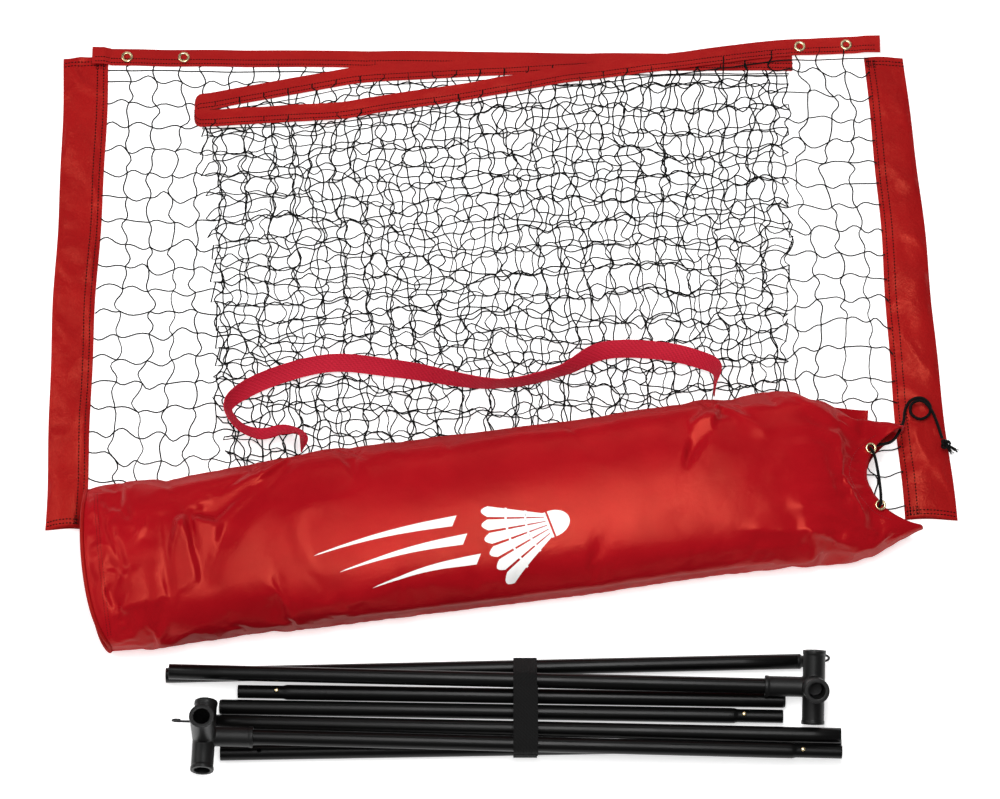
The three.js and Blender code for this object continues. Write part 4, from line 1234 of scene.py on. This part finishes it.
# outlines as [x, radius]: the plug's x runs from the upright's end, the cap's from the foot's start
PLUG = [(-24, 1.9), (-24, PLUG_INNER - 0.6), (-1, PLUG_INNER), (0.2, PLUG_INNER), (0.2, TUBE_R),
        (3.4, TUBE_R), (4.6, 10.4), (6, 8.7), (12, 8.1), (17, 7.6), (18, 6.8), (18, 2.3), (14, 1.9),
        (-24, 1.9)]
CAP = [(-3, 0.01), (-3, 8), (-2.7, 9.4), (-2, 10.3), (-1.2, 10.6), (-0.3, 10.6), (-0.3, PLUG_INNER),
       (16, PLUG_INNER - 0.8), (16, 0.01)]
HOOK = [(5, 0), (19, 0), (32, 0), (43, 0.6), (46, 4.2), (42, 7.9), (34, 7.7)]
HOOK_R, HOOK_TIP_R = 1.7, (1.4, 0.8)
BUTTON_R = 3.1
BUTTON = [(SWAGE_R - 4, 0.01), (SWAGE_R - 4, BUTTON_R), (SWAGE_R + 2.4, BUTTON_R)]
BUTTON += [(SWAGE_R + 2.4 + 1.4 * math.sin(a), BUTTON_R * math.cos(a))
           for a in np.radians(np.linspace(10, 88, 8))]


def turned_piece(name, outline, axes, sides, material, body, node):
    shape = Shape()
    shape.lathe(outline, axes, sides)
    shape.done(name, material, body, node)


def small_fittings():
    for number, turn in ((1, 0.0), (2, math.pi / 2)):
        key, node = f"upright_{number}", f"upright_plug_{number}"
        axes = axes_of(key)
        plug = [(UPRIGHT_L + x, r) for x, r in PLUG]
        turned_piece(node + "_moulding", plug, axes, 40, PLASTIC, key, node)
        c, s = math.cos(turn), math.sin(turn)
        path = spline([along_axes(axes, UPRIGHT_L + x, y * c, y * s) for x, y in HOOK], 9)
        radius = np.full(len(path), HOOK_R)
        radius[-2:] = HOOK_TIP_R
        hook = Shape()
        hook.tube(path, radius, 14)
        hook.done(f"wire_hook_{number}_wire", WIRE, f"hook_{number}", f"wire_hook_{number}")
    for number, key, x in ((1, "crossbar_left", 835), (2, "foot_1", 728), (3, "foot_2", 750)):
        origin, ax, ay, az = axes_of(key)
        turned_piece(f"snap_button_{number}_brass", BUTTON, (origin + ax * x, az, ax, ay), 28, BRASS,
                     f"button_{number}", f"snap_button_{number}")
    for number in (1, 2):
        key, node = f"foot_{number}", f"foot_cap_{number}"
        turned_piece(node + "_moulding", CAP, axes_of(key), 40, PLASTIC, key, node)


# radius, start, end and collar radius of the fitting's arms; the first is the foot sleeve's half
ARMS = [(16, (0, 9, 0), (0, -53, 0), 16.8), (16, (0, -8.5, 0), (0, 53, 0), 16.8),
        (17, (0, 0.3, 0.4), (0, 0.3, 72), 17.8), (14.5, (0.6, 0, 0), (70, 0, 0), 15.3)]
BORES = [(11.5, (0, -54, 0), (0, 54, 0)), (11.5, (0, 0, 15.5), (0, 0, 73)), (11.3, (16, 0, 0), (71, 0, 0))]
COLLAR, FITTING_BACK, VOXEL = 5, 17, 0.00085


def base_fitting(side, roll):
    """Moulded fitting: foot sleeve across, socket up, crossbar branch along, corners softened."""
    origin, x, y, z = axes_of(f"crossbar_{side}")
    y, z = y * math.cos(roll) + z * math.sin(roll), z * math.cos(roll) - y * math.sin(roll)
    axes = (origin - x * FITTING_BACK, x, y, z)

    def rod(radius, a, b, sides, collar=None):
        return cylinder("blank", radius, along_axes(axes, *a), along_axes(axes, *b), sides, collar)

    blanks = [rod(radius, a, b, sides, (wide, COLLAR))
              for (radius, a, b, wide), sides in zip(ARMS, (56, 52, 52, 52))]
    body = blanks[0]
    for blank in blanks[1:]:
        combine(body, blank, "UNION")
    for radius, a, b in BORES:
        combine(body, rod(radius, a, b, 48), "DIFFERENCE")
    remesh = body.modifiers.new("remesh", "REMESH")
    remesh.mode, remesh.voxel_size, remesh.use_smooth_shade = "VOXEL", VOXEL, True
    round_off = body.modifiers.new("soften", "SMOOTH")
    round_off.factor, round_off.iterations = 0.5, 3
    body.modifiers.new("thin", "DECIMATE").ratio = 0.35
    apply_modifiers(body)
    body.name = body.data.name = f"base_fitting_{side}_moulding"
    body.data.materials.clear()
    body.data.materials.append(PLASTIC)
    body.data.polygons.foreach_set("use_smooth", [True] * len(body.data.polygons))
    claim(body, f"fitting_{side}", [f"base_fitting_{side}"])


# ---- hook-and-loop strap
BUNDLE_X, BUNDLE_W, BUNDLE_T, BUNDLE_FREE = 36, 34, 2.2, 0.9


def convex(points):
    pts = sorted(map(tuple, points))

    def half(sequence):
        out = []
        for p in sequence:
            while len(out) > 1 and ((out[-1][0] - out[-2][0]) * (p[1] - out[-2][1])
                                    - (out[-1][1] - out[-2][1]) * (p[0] - out[-2][0])) <= 0:
                out.pop()
            out.append(p)
        return out[:-1]
    return np.array(half(pts) + half(pts[::-1]))


def strap_section(free):
    """Outline in Y and Z of a band drawn tight round the tubes, free of them by a margin."""
    points = []
    for a, b in LINES.values():
        t = (BUNDLE_X - a[0]) / (b[0] - a[0])
        y, z = mix(a[1], b[1], t), mix(a[2], b[2], t)
        turn = np.radians(np.arange(0, 360, 6))
        points += list(zip(y + (TUBE_R + free) * np.cos(turn), z + (TUBE_R + free) * np.sin(turn)))
    outline = convex(points)
    closed = np.c_[np.zeros(len(outline) + 1), np.vstack([outline, outline[:1]])]
    return spaced(closed, 2.0)[:-1, 1:]


def band(name, section, thickness, middle, shift, looped, *nodes):
    """A webbing band along points in Y and Z, thickened away from the bundle's middle."""
    d = distances(section)
    step = np.roll(section, -1, 0) - np.roll(section, 1, 0) if looped else np.gradient(section, axis=0)
    normal = unit(np.stack([step[:, 1], -step[:, 0]], 1))
    if ((section - middle) * normal).sum() < 0:
        normal = -normal
    x = BUNDLE_X + shift + np.linspace(-0.5, 0.5, 9) * BUNDLE_W
    wave = 0.25 * noise_at(np.stack([d, d * 0], 1), 12, 5)[:, None]

    def face(yz):
        yz = np.repeat(yz[:, None], len(x), 1)
        return np.concatenate([np.broadcast_to(x[None, :, None], (*yz.shape[:2], 1)), yz], 2)

    shape = Shape()
    shape.slab(face(section + normal * (thickness + wave)), face(section),
               np.stack(np.broadcast_arrays(d[:, None], x[None]), -1), looped)
    return shape.done(name, HOOK_AND_LOOP, "bundle", *nodes)


def bundle_strap():
    section = strap_section(BUNDLE_FREE)
    middle = section.mean(0)
    band("hook_and_loop_band", section, BUNDLE_T, middle, 0, True, "bundle_strap")
    # the free end lies pressed on the top of the band
    outer = strap_section(BUNDLE_FREE + BUNDLE_T + 0.1)
    top = outer[outer[:, 1] > middle[1] + 6]
    top = top[np.argsort(top[:, 0])]
    band("hook_and_loop_tail", top[: int(len(top) * 0.72)], 1.4, middle, 1.2, False)
    stitches = Shape()
    front = top[:12]
    for x in (-12, 12):
        line = np.c_[np.full(len(front), BUNDLE_X + x), front + [0, 1.6]]
        stitches.stitch_row(line, np.tile([0, 0, 1.0], (len(line), 1)), 3.2, 2.4, 0.4)
    stitches.done("hook_and_loop_stitches", THREAD, "bundle")


# ---- build everything
TAPE = header_tape()
NET = netting()
grommets()
LEFT = pole_sleeve("pole_sleeve_left", sleeve_surface((-667, -608.3), (-667, -598.3), -203, 556, 1), 100)
RIGHT = pole_sleeve("pole_sleeve_right", sleeve_surface((592, 669), (559.5, 619), -188, 557, 2), 0)
BAG, BAG_POINTS = bag()
bpy.context.view_layer.update()
bag_end(BAG_POINTS[0])
bag_stitching()
mouth_corner()
print_on_bag()
STRAP, STRAP_LENGTH = shoulder_strap()
strap_patches()
drawcord()
tubes()
small_fittings()
base_fitting("left", math.radians(-8))
base_fitting("right", math.radians(-20))
bundle_strap()
